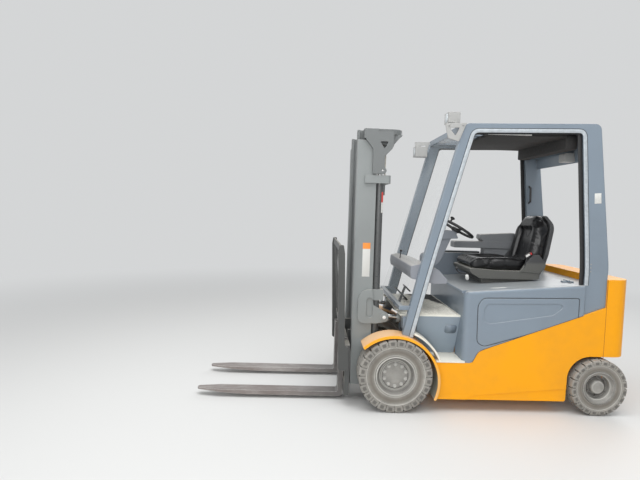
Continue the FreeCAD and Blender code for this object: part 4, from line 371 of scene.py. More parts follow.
# %% Finishes that change along a piece
def fork_paint():
    finish = Finish("fork_paint")
    broad = finish.noise(6, 5.0, 0.7, (0.4, 1, 1))
    fine = finish.noise(70, 4.0, 0.65, (0.3, 1, 1))
    toe = finish.along("X").stepped(AXLE_X + 0.42, AXLE_X + 1.0)
    rubbed = ((toe * 0.75 + 0.22) * (broad * 1.2 + fine * 0.5)).clamped()
    steel_colour = finish.mix(broad.stepped(0.35, 0.7), (0.27, 0.225, 0.21), (0.40, 0.375, 0.36))
    bright = finish.edges(0.006) * (broad * 1.1 + 0.15)
    dark = finish.mix(rubbed, (0.095, 0.093, 0.09), steel_colour)
    colour = finish.mix(bright.clamped(), dark, (0.66, 0.65, 0.62))
    return finish.skin(colour, 0.52 - fine * 0.2, fine, 0.2, 0.001, 0.003, Metallic=rubbed * 0.5)


def fender_paint(lip_y):
    """lip_y is the distance from the middle at which the clean outer lip starts."""
    finish = Finish("fender_paint")
    broad = finish.noise(5, 4.0, 0.6)
    across = finish.along("Y").absolute()
    lip = across.stepped(lip_y - 0.003, lip_y)
    tail = 1.0 - finish.along("Z").stepped(0.24, 0.44)
    behind = 1.0 - finish.along("X").stepped(AXLE_X - 0.25, AXLE_X - 0.05)
    top = finish.mix(broad.stepped(0.3, 0.7), (0.74, 0.42, 0.19), (0.68, 0.46, 0.27))
    dusty = finish.mix((tail * behind).clamped(), top, (0.44, 0.43, 0.36))
    clean = finish.mix((tail * behind * 0.35).clamped(), (0.93, 0.40, 0.01), (0.55, 0.48, 0.33))
    colour = finish.mix(lip, dusty, clean)
    return finish.set(Base_Color=colour, Roughness=broad * 0.2 + 0.42, Normal=finish.round_edges(0.003))

# %% Rubber, rims and the seat's shell
def rubber(name, centre, size, lugs, side):
    """centre is the wheel's middle in X and Z, size its radius, side 1 for left and -1 for right."""
    finish = Finish(name)
    broad = finish.noise(9, 5.0, 0.65)
    fine = finish.noise(120, 3.0, 0.6)
    radius, angle = finish.polar(centre)
    share = radius * (1 / size)
    dust = (broad * 0.8 + fine * 0.35).stepped(0.22, 0.80)
    plain_side = finish.mix(dust, (0.165, 0.157, 0.143), (0.30, 0.285, 0.258))
    # Painted shade: a darker brown ring on the concave sidewall.
    hollow_shade = share.near(0.665, 0.085) * 0.75
    shaded_side = finish.mix(hollow_shade, plain_side, (0.15, 0.13, 0.105))
    slots = finish.node("ShaderNodeMath", {"operation": "COSINE"}, angle * lugs)
    # Painted shade: the slots between the lugs are darkened.
    slot_shade = (slots * -side).stepped(0.1, 0.35) * (share.near(0.895, 0.055) * 3.0).clamped() * 0.72
    shaded_slots = finish.mix(slot_shade, shaded_side, (0.085, 0.08, 0.072))
    # Painted highlights: two pale rings and every outer edge are lightened.
    light = share.near(0.785, 0.018) * 0.6 + share.near(0.565, 0.03) * 0.7 + finish.edges(0.006) * 0.85
    colour = finish.mix((light * (broad * 0.8 + 0.5)).clamped(), shaded_slots, (0.58, 0.565, 0.52))
    rings = finish.node("ShaderNodeMath", {"operation": "SINE"}, radius * 520)
    return finish.skin(colour, dust * 0.1 + 0.84, fine * 0.7 + rings * 0.12, 0.25, 0.001, 0.003)


def rim_paint(name, centre, size, highlight_rings, shade_rings):
    """Rings are (middle, reach, strength), the first two as shares of the tyre's radius."""
    finish = Finish(name)
    broad = finish.noise(12, 4.0, 0.65)
    fine = finish.noise(90, 3.0, 0.6)
    share = finish.polar(centre)[0] * (1 / size)
    colour = finish.mix(broad.stepped(0.3, 0.75), (0.24, 0.232, 0.215), (0.33, 0.32, 0.295))
    # Painted shade: dark rings in the rim's hollows.
    for middle, reach, strength in shade_rings:
        colour = finish.mix(share.near(middle, reach) * strength, colour, (0.06, 0.055, 0.05))
    # Painted highlights: pale rings on the rim's raised edges.
    for middle, reach, strength in highlight_rings:
        colour = finish.mix(share.near(middle, reach) * strength, colour, (0.56, 0.55, 0.51))
    # Painted highlight on every outer edge of the rim.
    colour = finish.mix(finish.edges(0.004) * 0.7, colour, (0.60, 0.59, 0.55))
    return finish.skin(colour, fine * 0.15 + 0.6, fine, 0.15, 0.0008, 0.003)


def seat_shell_paint():
    """Dusty olive on the tray, dark on the shell behind the back."""
    finish = Finish("seat_shell_paint")
    broad = finish.noise(9, 4.0, 0.6)
    fine = finish.noise(70, 3.0, 0.6)
    high = finish.along("Z").stepped(1.16, 1.19)
    lying = finish.upward().stepped(0.3, 0.9) * (broad * 0.7 + 0.2)
    tray = finish.mix(lying.clamped(), (0.10, 0.10, 0.092), (0.36, 0.35, 0.31))
    colour = finish.mix(high, tray, (0.055, 0.056, 0.058))
    worn = finish.edges(0.007) * (broad * 0.9 + 0.2) * (high * -0.8 + 1.0)
    rubbed = finish.mix(worn.clamped(), colour, (0.38, 0.38, 0.36))
    return finish.skin(rubbed, fine * 0.2 + 0.42, fine, 0.12, 0.0006, 0.006)


# %% Steel, vinyl, glass and trim
def steel(name, colour, rough, oil):
    finish = Finish(name)
    broad = finish.noise(14, 4.0, 0.6)
    fine = finish.noise(90, 3.0, 0.6, (1, 1, 0.2))
    dirty = finish.mix(broad.stepped(0.5, 0.8) * oil, colour, (0.03, 0.026, 0.02))
    return finish.skin(dirty, fine * 0.15 + rough, fine, 0.05, 0.0004, 0.002, Metallic=0.9)


def vinyl():
    finish = Finish("seat_vinyl")
    grain = finish.node("ShaderNodeTexVoronoi", {"feature": "DISTANCE_TO_EDGE"}, Vector=finish.place(),
                        Scale=420.0)
    broad = finish.noise(11, 4.0, 0.6)
    dust = (finish.upward().stepped(0.4, 1.0) * broad * 0.05).clamped()
    colour = finish.mix(dust, (0.006, 0.006, 0.007), (0.20, 0.18, 0.16))
    return finish.set(Base_Color=colour, Roughness=broad * 0.2 + 0.2,
                      Normal=finish.bump(grain, 0.25, 0.0006))


def clear_glass():
    finish = Finish("cab_glass")
    dust = finish.noise(3.0, 5.0, 0.7).stepped(0.45, 0.9)
    return finish.set(Base_Color=(0.75, 0.80, 0.80), Roughness=dust * 0.2 + 0.03, Alpha=dust * 0.10 + 0.06)


def plain(name, colour, rough, scale=40.0, metallic=0.0):
    """A small trim finish: one colour with a faint mottle and grain."""
    finish = Finish(name)
    fine = finish.noise(scale, 4.0, 0.6)
    shade = finish.mix(fine.stepped(0.3, 0.75), colour, tuple(c * 0.8 for c in colour))
    return finish.skin(shade, fine * 0.12 + rough, fine, 0.1, 0.0005, 0.0015, Metallic=metallic)


# %% Wheels and trim
# For each end: the painted highlight rings first, then the painted shade rings.
RIM_RINGS = {
    "front": ([(0.525, 0.02, 0.9), (0.41, 0.016, 0.9), (0.375, 0.01, 0.5)],
              [(0.46, 0.035, 0.6), (0.352, 0.02, 0.85)]),
    "rear": ([(0.60, 0.02, 0.9), (0.44, 0.016, 0.8), (0.20, 0.03, 0.5)],
             [(0.535, 0.03, 0.45), (0.33, 0.085, 0.9)]),
}
LUGS = {"front": 24, "rear": 20}
for end in ("front", "rear"):
    for side, sign in (("left", 1), ("right", -1)):
        tyre, rim, wheel = "%s_tyre_%s" % (end, side), "%s_rim_%s" % (end, side), "%s_%s" % (end, side)
        low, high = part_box(tyre)
        centre, size = ((low.x + high.x) / 2, (low.z + high.z) / 2), (high.z - low.z) / 2
        own_paints[tyre] = rubber(wheel + "_rubber", centre, size, LUGS[end], sign)
        own_paints[rim] = rim_paint(wheel + "_rim_paint", centre, size, *RIM_RINGS[end])
paints["chrome"] = steel("rod_chrome", (0.55, 0.55, 0.54), 0.12, 0.3)
paints["chain"] = steel("chain_steel", (0.50, 0.48, 0.43), 0.45, 0.5)
paints["seat"] = vinyl()
paints["glass"] = clear_glass()
rubber_seal = plain("rubber_seal", (0.018, 0.018, 0.019), 0.6)
# Painted highlight: the pale strips along the guard's opening and along the console tray's rim.
highlight_strip_finish = plain("painted_highlight_strip", (0.47, 0.51, 0.54), 0.25)
groove_shadow = plain("groove_shadow", (0.055, 0.068, 0.082), 0.6)
orange_shadow = plain("orange_shadow", (0.42, 0.12, 0.004), 0.6)
plate_white = plain("blank_plate", (0.72, 0.72, 0.69), 0.5)
signal_red = plain("signal_red", (0.50, 0.03, 0.03), 0.4)
bolt_steel = plain("bolt_steel", (0.33, 0.33, 0.32), 0.4, 90.0, 0.6)
pin_bright = plain("pin_bright", (0.80, 0.80, 0.78), 0.3)
light_strip = plain("light_strip", (0.80, 0.80, 0.77), 0.4)
dark_liner = plain("dark_liner", (0.045, 0.043, 0.042), 0.8)
print("wheel, steel and trim finishes are ready")

# %% [markdown]
# ## A finish for every solid
# The record names one material slot per sub-part. A few sub-parts of one slot differ in the real truck:
# the dash cowl is a paler grey moulding, the seat tray a dusty olive one, and forks, fenders and tyres have
# their own recipes. Those are listed by name, and the rest follow the slot.

# %% Give each sub-part its finish
LIP = 0.0085
own_paints["seat_frame"] = seat_shell_paint()
own_paints["fork_left"] = own_paints["fork_right"] = fork_paint()
own_paints["front_fenders"] = fender_paint(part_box("front_fenders")[1].y - LIP)
slot_of = {part["node"]: part["material_slot"] for part in frame["record"]["subparts"]}
for name, solid in frame["nodes"].items():
    solid.data.materials.clear()
    solid.data.materials.append(own_paints.get(name) or paints[slot_of[name]])
print("finishes:", len(bpy.data.materials))

# The floor melts into the pale sky a few metres off, but only for the eye: it still takes shadows nearby.
FADE_FROM, FADE_TO = 2.6, 9.0
ground = Finish("pale_floor")
ground.set(Base_Color=(0.62, 0.62, 0.61), Roughness=0.6)
far = ground.node("ShaderNodeVectorMath", {"operation": "LENGTH"}, ground.place(), output="Value")
fade = far.stepped(FADE_FROM, FADE_TO) * Mask(ground, seen_directly(ground.tree))
glow = ground.node("ShaderNodeEmission", {}, PALE)
mixed = ground.node("ShaderNodeMixShader", {}, fade, Mask(ground, ground.shader.outputs[0]), glow)
ground.tree.links.new(mixed.socket, ground.tree.nodes["Material Output"].inputs["Surface"])
floor.data.materials.append(ground.material)

# %% [markdown]
# ## Working by hand, in code
# Every new piece starts as a primitive and is shaped in edit mode, as it would be with the mouse. A few
# helpers cover what each piece needs: steps taken in edit mode, a modifier that is applied at once, a
# block between two corners with its edges rounded, a round bar bent along a few points, and a last step
# that puts the object at the origin, smooths it, gives it its finish and its body. Places are written in
# millimetres ahead of the front axle, left of the middle and above the floor, as on a drawing.

# %% Helpers for modelled pieces
MM = 0.001


def spot(ahead, left, height):
    """A point given in millimetres ahead of the front axle, left of the middle and above the floor."""
    return Vector((AXLE_X + ahead * MM, left * MM, height * MM))


def only(*pieces):
    """Selects these pieces alone and makes the first one active."""
    clear()
    for piece in pieces:
        piece.select_set(True)
    bpy.context.view_layer.objects.active = pieces[0]


def in_edit_mode(*steps):
    """Takes each step on the active piece in edit mode, with everything selected."""
    bpy.ops.object.mode_set(mode="EDIT")
    for step in steps:
        bpy.ops.mesh.select_all(action="SELECT")
        step()
    bpy.ops.object.mode_set(mode="OBJECT")


def outwards():
    bpy.ops.mesh.normals_make_consistent(inside=False)


def pushed(*move):
    """A step that extrudes all faces by a move in millimetres."""
    return lambda: bpy.ops.mesh.extrude_region_move(TRANSFORM_OT_translate={"value": [v * MM for v in move]})


def modified(piece, kind, **settings):
    """A modifier with its settings, applied at once to the active piece."""
    made = piece.modifiers.new(kind, kind)
    for key, value in settings.items():
        setattr(made, key, value)
    bpy.ops.object.modifier_apply(modifier=made.name)


def settle(piece, name, body, finish, smooth=40):
    """Origin at zero, smooth shading, finish, and the body it rides on, if it rides on only one."""
    only(piece)
    piece.name = name
    bpy.ops.object.transform_apply()
    bpy.ops.object.shade_smooth_by_angle(angle=math.radians(smooth))
    piece.data.materials.clear()
    piece.data.materials.append(finish)
    if body:
        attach(piece, body)
    return piece


print("places are measured from x =", round(AXLE_X, 4), "m")

# %% A rounded block and a bent bar
def rounded_block(low, high, radius):
    """A block between two corners, in millimetres, with rounded edges."""
    clear()
    low, high = spot(*low), spot(*high)
    bpy.ops.mesh.primitive_cube_add(size=1, location=(low + high) / 2)
    block = bpy.context.object
    block.scale = [abs(b - a) for a, b in zip(low, high)]
    bpy.ops.object.transform_apply()
    in_edit_mode(lambda: bpy.ops.mesh.bevel(offset=radius * MM, segments=2, affect="EDGES"))
    return block


def bent_bar(points, radius, closed=False, flatten=None, corner=0.0):
    """A bar along points in metres, made from a curve and turned into a mesh."""
    clear()
    bpy.ops.curve.primitive_nurbs_path_add()
    line = bpy.context.object.data
    line.splines.clear()
    if corner:
        points = eased(points, corner, closed)
    spline = line.splines.new("POLY")
    spline.points.add(len(points) - 1)
    for point, place in zip(spline.points, points):
        point.co = (*place, 1)
    spline.use_cyclic_u = closed
    line.bevel_depth = radius
    line.bevel_resolution = 2
    line.use_fill_caps = True
    bpy.ops.object.convert(target="MESH")
    bar = bpy.context.object
    if flatten:
        axis, middle, share = flatten
        for vertex in bar.data.vertices:
            vertex.co[axis] = middle + (vertex.co[axis] - middle) * share
    return bar


def eased(points, corner, closed=False, steps=5):
    """The same path with each corner replaced by a short curve of that reach in metres."""
    made = []
    count = len(points)
    for k, point in enumerate(points):
        if not closed and k in (0, count - 1):
            made.append(point)
            continue
        before, after = points[k - 1], points[(k + 1) % count]
        reach_in = min(corner, (before - point).length * 0.45)
        reach_out = min(corner, (after - point).length * 0.45)
        start = point + (before - point).normalized() * reach_in
        end = point + (after - point).normalized() * reach_out
        for step in range(steps + 1):
            t = step / steps
            made.append(start * (1 - t) ** 2 + point * 2 * t * (1 - t) + end * t * t)
    return made


def joined(*parts):
    only(*parts)
    bpy.ops.object.join()
    return parts[0]


# %% [markdown]
# ## The padded seat
# The seat is a moulded foam cushion and back, each covered with vinyl that is pulled tight over raised
# side bolsters. A flat solid can't give that fullness, so the solid's own shape is remeshed into an even
# skin, inflated a little as cloth, and held within a few millimetres of where it began. The inflating
# gives the soft crowned faces and rounded rims that foam has. The seams come after it, because the
# remesh would erase them: each is a fine cord of piping laid on the finished surface.

# %% Inflate the cushion and the back
VOXEL = 0.007
SWELL = 0.010
AIR_PRESSURE, AIR_FRAMES = 4.0, 15


def foam(node, rounding):
    """A soft cover made from a CAD pad: remeshed, rounded, inflated as cloth and kept within the swell."""
    only(frame["nodes"][node])
    bpy.ops.object.duplicate()
    pad = bpy.context.object
    bpy.ops.object.parent_clear(type="CLEAR_KEEP_TRANSFORM")
    for key in list(pad.keys()):
        del pad[key]
    in_edit_mode(lambda: bpy.ops.mesh.remove_doubles(threshold=0.0002), outwards)
    modified(pad, "DISPLACE", mid_level=0, strength=-0.004)
    modified(pad, "REMESH", mode="VOXEL", voxel_size=VOXEL)
    modified(pad, "SMOOTH", iterations=rounding, factor=0.5)
    start = [v.co.copy() for v in pad.data.vertices]
    cloth = pad.modifiers.new("air", "CLOTH")
    cloth.settings.use_pressure = True
    cloth.settings.uniform_pressure_force = AIR_PRESSURE
    cloth.settings.effector_weights.gravity = 0
    cloth.settings.quality = 4
    cloth.collision_settings.use_collision = False
    scene = bpy.context.scene
    for step in range(1, AIR_FRAMES + 1):
        scene.frame_set(step)
    bpy.ops.object.modifier_apply(modifier="air")
    for vertex, first in zip(pad.data.vertices, start):
        moved = vertex.co - first
        if moved.length > SWELL:
            vertex.co = first + moved.normalized() * SWELL
    scene.frame_set(1)
    only(pad)
    modified(pad, "SUBSURF", levels=1, render_levels=1)
    return pad


seat_pads = {}
for node, fill, rounding in (("seat_cushion", 0.6, 6), ("seat_back", 0.7, 20)):
    pad = settle(foam(node, rounding), node + "_vinyl", "hood", paints["seat"], 60)
    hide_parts(node)
    seat_pads[node] = pad
    print(pad.name, "faces", len(pad.data.polygons))

# %% [markdown]
# ## Seams on the seat
# The real cover is sewn: a V-shaped seam and two side channels run down the back, and two channels run
# along the cushion. A seam is drawn as a thin tube of piping whose points are dropped onto the soft
# surface, so it follows every swell.

# %% Piping laid on the soft covers
PIPE_RADIUS, PIPE_SUNK, PIPE_STEPS = 0.0026, 0.0008, 14


def face_at(piece, start, direction):
    """The point where a line from the start first meets the piece, or None."""
    found, place, _, _ = piece.ray_cast(start, direction)
    return place if found else None


def piping(piece, corners, direction):
    """A tube of piping along corners in millimetres, dropped onto the piece along a direction."""
    places = [spot(*corner) for corner in corners]
    line = []
    for first, last in zip(places, places[1:]):
        for step in range(PIPE_STEPS + 1):
            met = face_at(piece, first.lerp(last, step / PIPE_STEPS), Vector(direction))
            if met is not None and (not line or (met - line[-1]).length > 0.004):
                line.append(met + Vector(direction).normalized() * PIPE_SUNK)
    return bent_bar(line, PIPE_RADIUS)


AHEAD_OF_BACK, OVER_CUSHION = -900, 1300


def back_seam(*places):
    """Piping through (left, height) places, sent back onto the seat's back."""
    return piping(seat_pads["seat_back"], [(AHEAD_OF_BACK, *place) for place in places], (-1, 0, 0))


def cushion_seam(*places):
    """Piping through (ahead, left) places, dropped onto the cushion."""
    return piping(seat_pads["seat_cushion"], [(*place, OVER_CUSHION) for place in places], (0, 0, -1))


seams = []
for side in (-1, 1):
    seams.append(back_seam((side * 128, 1150), (side * 138, 1300), (side * 120, 1545)))
    seams.append(back_seam((side * 118, 1530), (side * 8, 1385)))
    seams.append(cushion_seam((-690, side * 150), (-800, side * 138), (-1120, side * 132)))
seams.append(cushion_seam((-860, -128), (-860, 128)))
piping_vinyl = plain("piping_vinyl", (0.016, 0.016, 0.017), 0.4, 300.0)
settle(joined(*seams), "seat_piping", "hood", piping_vinyl)
print("piping tubes:", len(seams))

# %% [markdown]
# ## Round pieces
# Knobs, hubs, pins and lamp lenses are all turned shapes. A disc is extruded upwards and scaled step by
# step, which is how a lathe profile is built by hand, and the finished shape is stood where it belongs.

# %% A lathe made of extrusions
def turned(profile, at, along=(0, 0, 1), segments=28):
    """A round piece through (radius, height) steps in millimetres, standing at a point."""
    clear()
    (radius, height), *steps = profile
    bpy.ops.mesh.primitive_circle_add(vertices=segments, radius=radius * MM, fill_type="NGON",
                                      location=(0, 0, height * MM))
    piece = bpy.context.object
    bpy.ops.object.transform_apply()
    bpy.ops.object.mode_set(mode="EDIT")
    bpy.ops.mesh.select_all(action="SELECT")
    for next_radius, next_height in steps:
        rise = (next_height - height) * MM
        bpy.ops.mesh.extrude_region_move(TRANSFORM_OT_translate={"value": (0, 0, rise)})
        share = next_radius / radius
        bpy.ops.transform.resize(value=(share, share, 1), center_override=(0, 0, next_height * MM))
        radius, height = next_radius, next_height
    bpy.ops.object.mode_set(mode="OBJECT")
    in_edit_mode(outwards)
    piece.location = spot(*at)
    piece.rotation_euler = Vector(along).to_track_quat("Z", "Y").to_euler()
    bpy.ops.object.transform_apply()
    return piece


# %% [markdown]
# ## The steering wheel
# A slim black ring with finger waves on its inner side, three flat spokes that widen towards a dished hub,
# and a spinner knob for one-handed steering. It replaces the plain wheel and keeps its size and slope.

# %% The ring with its finger waves
RING, GRIP = 154, 12.5
WHEEL_SLOPE = math.radians(-30)
bpy.ops.mesh.primitive_torus_add(major_radius=RING * MM, minor_radius=GRIP * MM, major_segments=120,
                                 minor_segments=14, location=(0, 0, 0))
ring = bpy.context.object
for vertex in ring.data.vertices:
    reach = math.hypot(vertex.co.x, vertex.co.y)
    if reach < RING * MM:
        turn_round = math.atan2(vertex.co.y, vertex.co.x)
        wave = 1 + 0.012 * math.cos(30 * turn_round) * (RING * MM - reach) / (GRIP * MM)
        vertex.co.x *= wave
        vertex.co.y *= wave
print("ring faces:", len(ring.data.polygons))

# %% Spokes, hub and knob
wheel_pieces = [ring]
for degrees in (90, 210, 330):
    clear()
    bpy.ops.mesh.primitive_cube_add(size=1, location=((RING / 2 + 10) * MM, 0, -5 * MM))
    spoke = bpy.context.object
    spoke.scale = ((RING - 26) * MM, 26 * MM, 8 * MM)
    bpy.ops.object.transform_apply()
    in_edit_mode(lambda: bpy.ops.mesh.subdivide(number_cuts=3))
    for vertex in spoke.data.vertices:
        inwards = 1 - vertex.co.x / (RING * MM)
        vertex.co.y *= 0.72 + 0.9 * inwards
        vertex.co.z -= 0.012 * max(0, inwards)
    modified(spoke, "BEVEL", width=0.003, segments=3, limit_method="ANGLE")
    spoke.rotation_euler.z = math.radians(degrees)
    bpy.ops.object.transform_apply()
    wheel_pieces.append(spoke)
MIDDLE = (-AXLE_X / MM, 0, 0)
hub = turned([(30, -36), (40, -30), (43, -14), (41, -5), (33, -1), (31, -3), (16, -1), (4, -0.5)], MIDDLE)
knob = turned([(8, 6), (8, 28), (15, 31), (20, 37), (20.5, 43), (16, 49), (7, 52)], MIDDLE)
knob.location = (RING * MM * math.cos(math.pi / 4), RING * MM * math.sin(math.pi / 4), 0)
wheel = joined(*wheel_pieces, hub, knob)
wheel.rotation_euler = (0, WHEEL_SLOPE, 0)
wheel.location = spot(-609, 0, 1446)
settle(wheel, "steering_wheel_dressed", "steering_wheel",
       plain("wheel_grip", (0.02, 0.02, 0.021), 0.38, 160.0))
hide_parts("steering_wheel")
print("wheel faces:", len(wheel.data.polygons))

# %% [markdown]
# ## Leaf chains
# A lift chain is a pack of flat figure-eight plates on cross pins: three plates, then two, in turn. One
# plate and one pin are modelled, and arrays repeat them along the run. When the mast rises the run behind
# it grows and the run in front shortens; here each run is baked in place and rides on no body.

# %% One plate and one pin, arrayed
CHAIN_Y = 200
PLATE_THICK, PLATE_HALF, PLATE_STEP = 2.6, 6.4, 8.2
PIN_RADIUS, PIN_LENGTH, END_SPACE = 3.2, 22, 6.5


def link_plate(reach):
    """A plate with round ends between two pin centres, lying in the ahead/height plane."""
    clear()
    bpy.ops.mesh.primitive_circle_add(vertices=12, radius=PLATE_HALF * MM, fill_type="NGON",
                                      rotation=(math.pi / 2, 0, 0))
    plate = bpy.context.object
    bpy.ops.object.transform_apply()
    for vertex in plate.data.vertices:
        if vertex.co.z > 0.0001:
            vertex.co.z += reach * MM
    in_edit_mode(pushed(0, PLATE_THICK, 0), outwards)
    return plate


def repeated(piece, count, offset):
    modified(piece, "ARRAY", use_relative_offset=False, use_constant_offset=True, count=count,
             constant_offset_displace=offset)
    return piece


def chain_run(ahead, low, high, left, pitches):
    """Plates and pins up a straight run between two heights, in millimetres."""
    pitch = (high - low - 2 * END_SPACE) / pitches
    parts = []
    for plates, first, start in ((3, -9.5, 0), (2, -5.5, 1)):
        plate = link_plate(pitch)
        plate.location = spot(ahead, left + first, low + END_SPACE + start * pitch)
        bpy.ops.object.transform_apply()
        repeated(plate, plates, (0, PLATE_STEP * MM, 0))
        repeated(plate, (pitches - start + 1) // 2, (0, 0, 2 * pitch * MM))
        parts.append(plate)
    clear()
    bpy.ops.mesh.primitive_cylinder_add(vertices=8, radius=PIN_RADIUS * MM, depth=PIN_LENGTH * MM,
                                        rotation=(math.pi / 2, 0, 0),
                                        location=spot(ahead, left, low + END_SPACE))
    pin = bpy.context.object
    bpy.ops.object.transform_apply()
    parts.append(repeated(pin, pitches + 1, (0, 0, pitch * MM)))
    return joined(*parts)


# %% The runs behind and in front of the mast
for node, lower_body, pitches in (("lift_chains_rear", "mast_outer", 13),
                                  ("lift_chains_front", "carriage", 84)):
    low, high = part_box(node)
    low, high, ahead = low.z / MM, high.z / MM, ((low.x + high.x) / 2 - AXLE_X) / MM
    both_runs = joined(*[chain_run(ahead, low, high, side * CHAIN_Y, pitches) for side in (-1, 1)])
    settle(both_runs, node + "_links", None, paints["chain"], 30)
    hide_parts(node)
    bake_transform(both_runs)
    print(both_runs.name, "faces", len(both_runs.data.polygons))

# %% [markdown]
# ## Trim round the cab opening
# The side frames of the guard catch light along their rounded inner edge: a pale strip there is a painted
# highlight, a thin dark line beside it is a painted shadow, and a black rubber seal runs inside it. All are
# bars that follow the opening, so one path with eased corners serves them all.

# %% Painted highlight strips, shadow lines and seals on both sides
def bent_path(corners, left):
    """The opening's path in metres: each corner is (ahead, height, reach of its curve)."""
    made = []
    for k, (ahead, height, reach) in enumerate(corners):
        here = spot(ahead, left, height)
        if k in (0, len(corners) - 1) or not reach:
            made.append(here)
            continue
        before = spot(corners[k - 1][0], left, corners[k - 1][1])
        after = spot(corners[k + 1][0], left, corners[k + 1][1])
        made += eased([before, here, after], reach * MM)[1:-1]
    return made


OPENING = [(-1483, 1040, 0), (-1483, 1190, 150), (-1396, 2232, 36), (-549, 2209, 30), (-267, 1150, 200),
           (-133, 590, 0)]
HIGHLIGHT_IN = 12
GUARD_Y = GUARD_HALF / MM


def drawn_out(corners, by):
    """The same path moved sideways, to the left of its running direction, by a distance in millimetres."""
    made = []
    for k, (ahead, height, reach) in enumerate(corners):
        before, after = corners[max(0, k - 1)], corners[min(len(corners) - 1, k + 1)]
        runs = []
        for first, last in ((before, corners[k]), (corners[k], after)):
            run = Vector((last[0] - first[0], last[1] - first[1]))
            if run.length:
                runs.append(run.normalized())
        normal = sum((Vector((-run.y, run.x)) for run in runs), Vector((0, 0))).normalized()
        stretch = by / max(0.3, normal.dot(Vector((-runs[0].y, runs[0].x))))
        made.append((ahead + normal.x * stretch, height + normal.y * stretch, reach + abs(by)))
    return made


def trim_bar(corners, by, left, radius, share=None):
    """A bar beside the path in the plane at that distance to the left, flattened to a share of its depth."""
    return bent_bar(bent_path(drawn_out(corners, by), left), radius, flatten=share and (1, left * MM, share))


highlight_strips, shadow_lines, seals = [], [], []
for side in (-1, 1):
    # Painted highlight: a pale strip along each frame's inner edge.
    highlight_strips.append(trim_bar(OPENING, HIGHLIGHT_IN, side * GUARD_Y, 0.015, 0.16))
    # Painted shadow: a thin dark line beside the strip.
    shadow_lines.append(trim_bar(OPENING, 2 * HIGHLIGHT_IN + 5, side * GUARD_Y, 0.003, 0.5))
    seals.append(trim_bar(OPENING[:3], -17, side * (GUARD_Y - 22), 0.019, 0.35))
    seals.append(trim_bar(OPENING[2:], -3, side * (GUARD_Y - 24), 0.009))
settle(joined(*highlight_strips), "guard_highlight_strip", "chassis", highlight_strip_finish)
settle(joined(*shadow_lines), "guard_shadow_line", "chassis", groove_shadow)
settle(joined(*seals), "guard_seal", "chassis", rubber_seal)
print("trim bars:", len(highlight_strips) + len(shadow_lines) + len(seals))

# %% [markdown]
# ## Seams in the sheet metal
# The side panel has a pressed outline, and panels meet the orange skirt and the counterweight in thin dark
# gaps. The pressed groove is in the solids, and a slim strip laid in it paints the shade that falls in the
# groove, so that it reads at a distance. The gaps get the same strip.

# %% Shadow strips in the groove and gaps
PANEL_Y = BODY_HALF / MM
WEDGE_LOW, WEDGE_HIGH = (-656, 494), (-1662, 866)
WEDGE_SLOPE = (WEDGE_HIGH[1] - WEDGE_LOW[1]) / (WEDGE_LOW[0] - WEDGE_HIGH[0])
GROOVE_IN, STRIP_RADIUS = 3.4, 0.0022
GROOVE = [(-1443.5, 935.5), (-668, 920.5), (-636.5, 860), (-641.5, 563), (-702, 532.5),
          (-1443.5, WEDGE_LOW[1] + (1443.5 + WEDGE_LOW[0]) * WEDGE_SLOPE - 28)]
GROOVE_BENDS = (18, 42, 30, 34, 34, 26)
grooves, gaps, weight_gaps = [], [], []
for side in (-1, 1):
    loop = []
    places = [spot(ahead, side * (PANEL_Y - GROOVE_IN), height) for ahead, height in GROOVE]
    for k, bend in enumerate(GROOVE_BENDS):
        corner = [places[k - 1], places[k], places[(k + 1) % len(places)]]
        loop += eased(corner, bend * MM)[1:-1]
    grooves.append(bent_bar(loop, 0.0026, closed=True))
    seam = [(-610, 404, 0), (-628, 432, 30), (*WEDGE_LOW, 60), (-1478, WEDGE_LOW[1] + 822 * WEDGE_SLOPE, 0)]
    gaps.append(bent_bar(bent_path(seam, side * (PANEL_Y - 0.5)), STRIP_RADIUS))
    ends = [spot(WEDGE_HIGH[0], side * (PANEL_Y - 1), height) for height in (300, 1088)]
    weight_gaps.append(bent_bar(ends, STRIP_RADIUS))
settle(joined(*grooves), "panel_groove_shadow", "chassis", groove_shadow)
settle(joined(*gaps), "skirt_gap", "chassis", groove_shadow)
settle(joined(*weight_gaps), "counterweight_gap", "chassis", orange_shadow)
print("shadow strips:", len(grooves) + len(gaps) + len(weight_gaps))

# %% [markdown]
# ## Plates and strips
# Every plate on the real truck is a thin sheet fixed flat on the metal behind it, here left blank. To sit
# properly, its place is found by a line shot at the carrying part from outside.

# %% Flat plates seated on the metal
OUTSIDE = 900
SEAT = 0.3


def outer_face(node, ahead, height, side=1):
    """How far left a part's outer face stands at a point, in millimetres."""
    met = face_at(frame["nodes"][node], spot(ahead, side * OUTSIDE, height), Vector((0, -side, 0)))
    return met.y / MM if met is not None else None


def flat_plate(node, corners, thick, soft=0.4):
    """A thin plate through corners (ahead, height), standing on the part's outer left face."""
    clear()
    bpy.ops.mesh.primitive_circle_add(vertices=len(corners), radius=1, fill_type="NGON")
    plate = bpy.context.object
    for vertex, (ahead, height) in zip(plate.data.vertices, corners):
        vertex.co = spot(ahead, outer_face(node, ahead, height) - SEAT, height)
    in_edit_mode(pushed(0, thick + SEAT, 0), outwards)
    modified(plate, "BEVEL", width=soft * MM, segments=2, limit_method="ANGLE")
    return plate


def oval(ahead, height, wide, tall, power=2.0, corners=32):
    """Corners of an oval, squarer for a higher power."""
    made = []
    for k in range(corners):
        angle = 2 * math.pi * k / corners
        c, s = math.cos(angle), math.sin(angle)
        made.append((ahead + wide / 2 * math.copysign(abs(c) ** (2 / power), c),
                     height + tall / 2 * math.copysign(abs(s) ** (2 / power), s)))
    return made


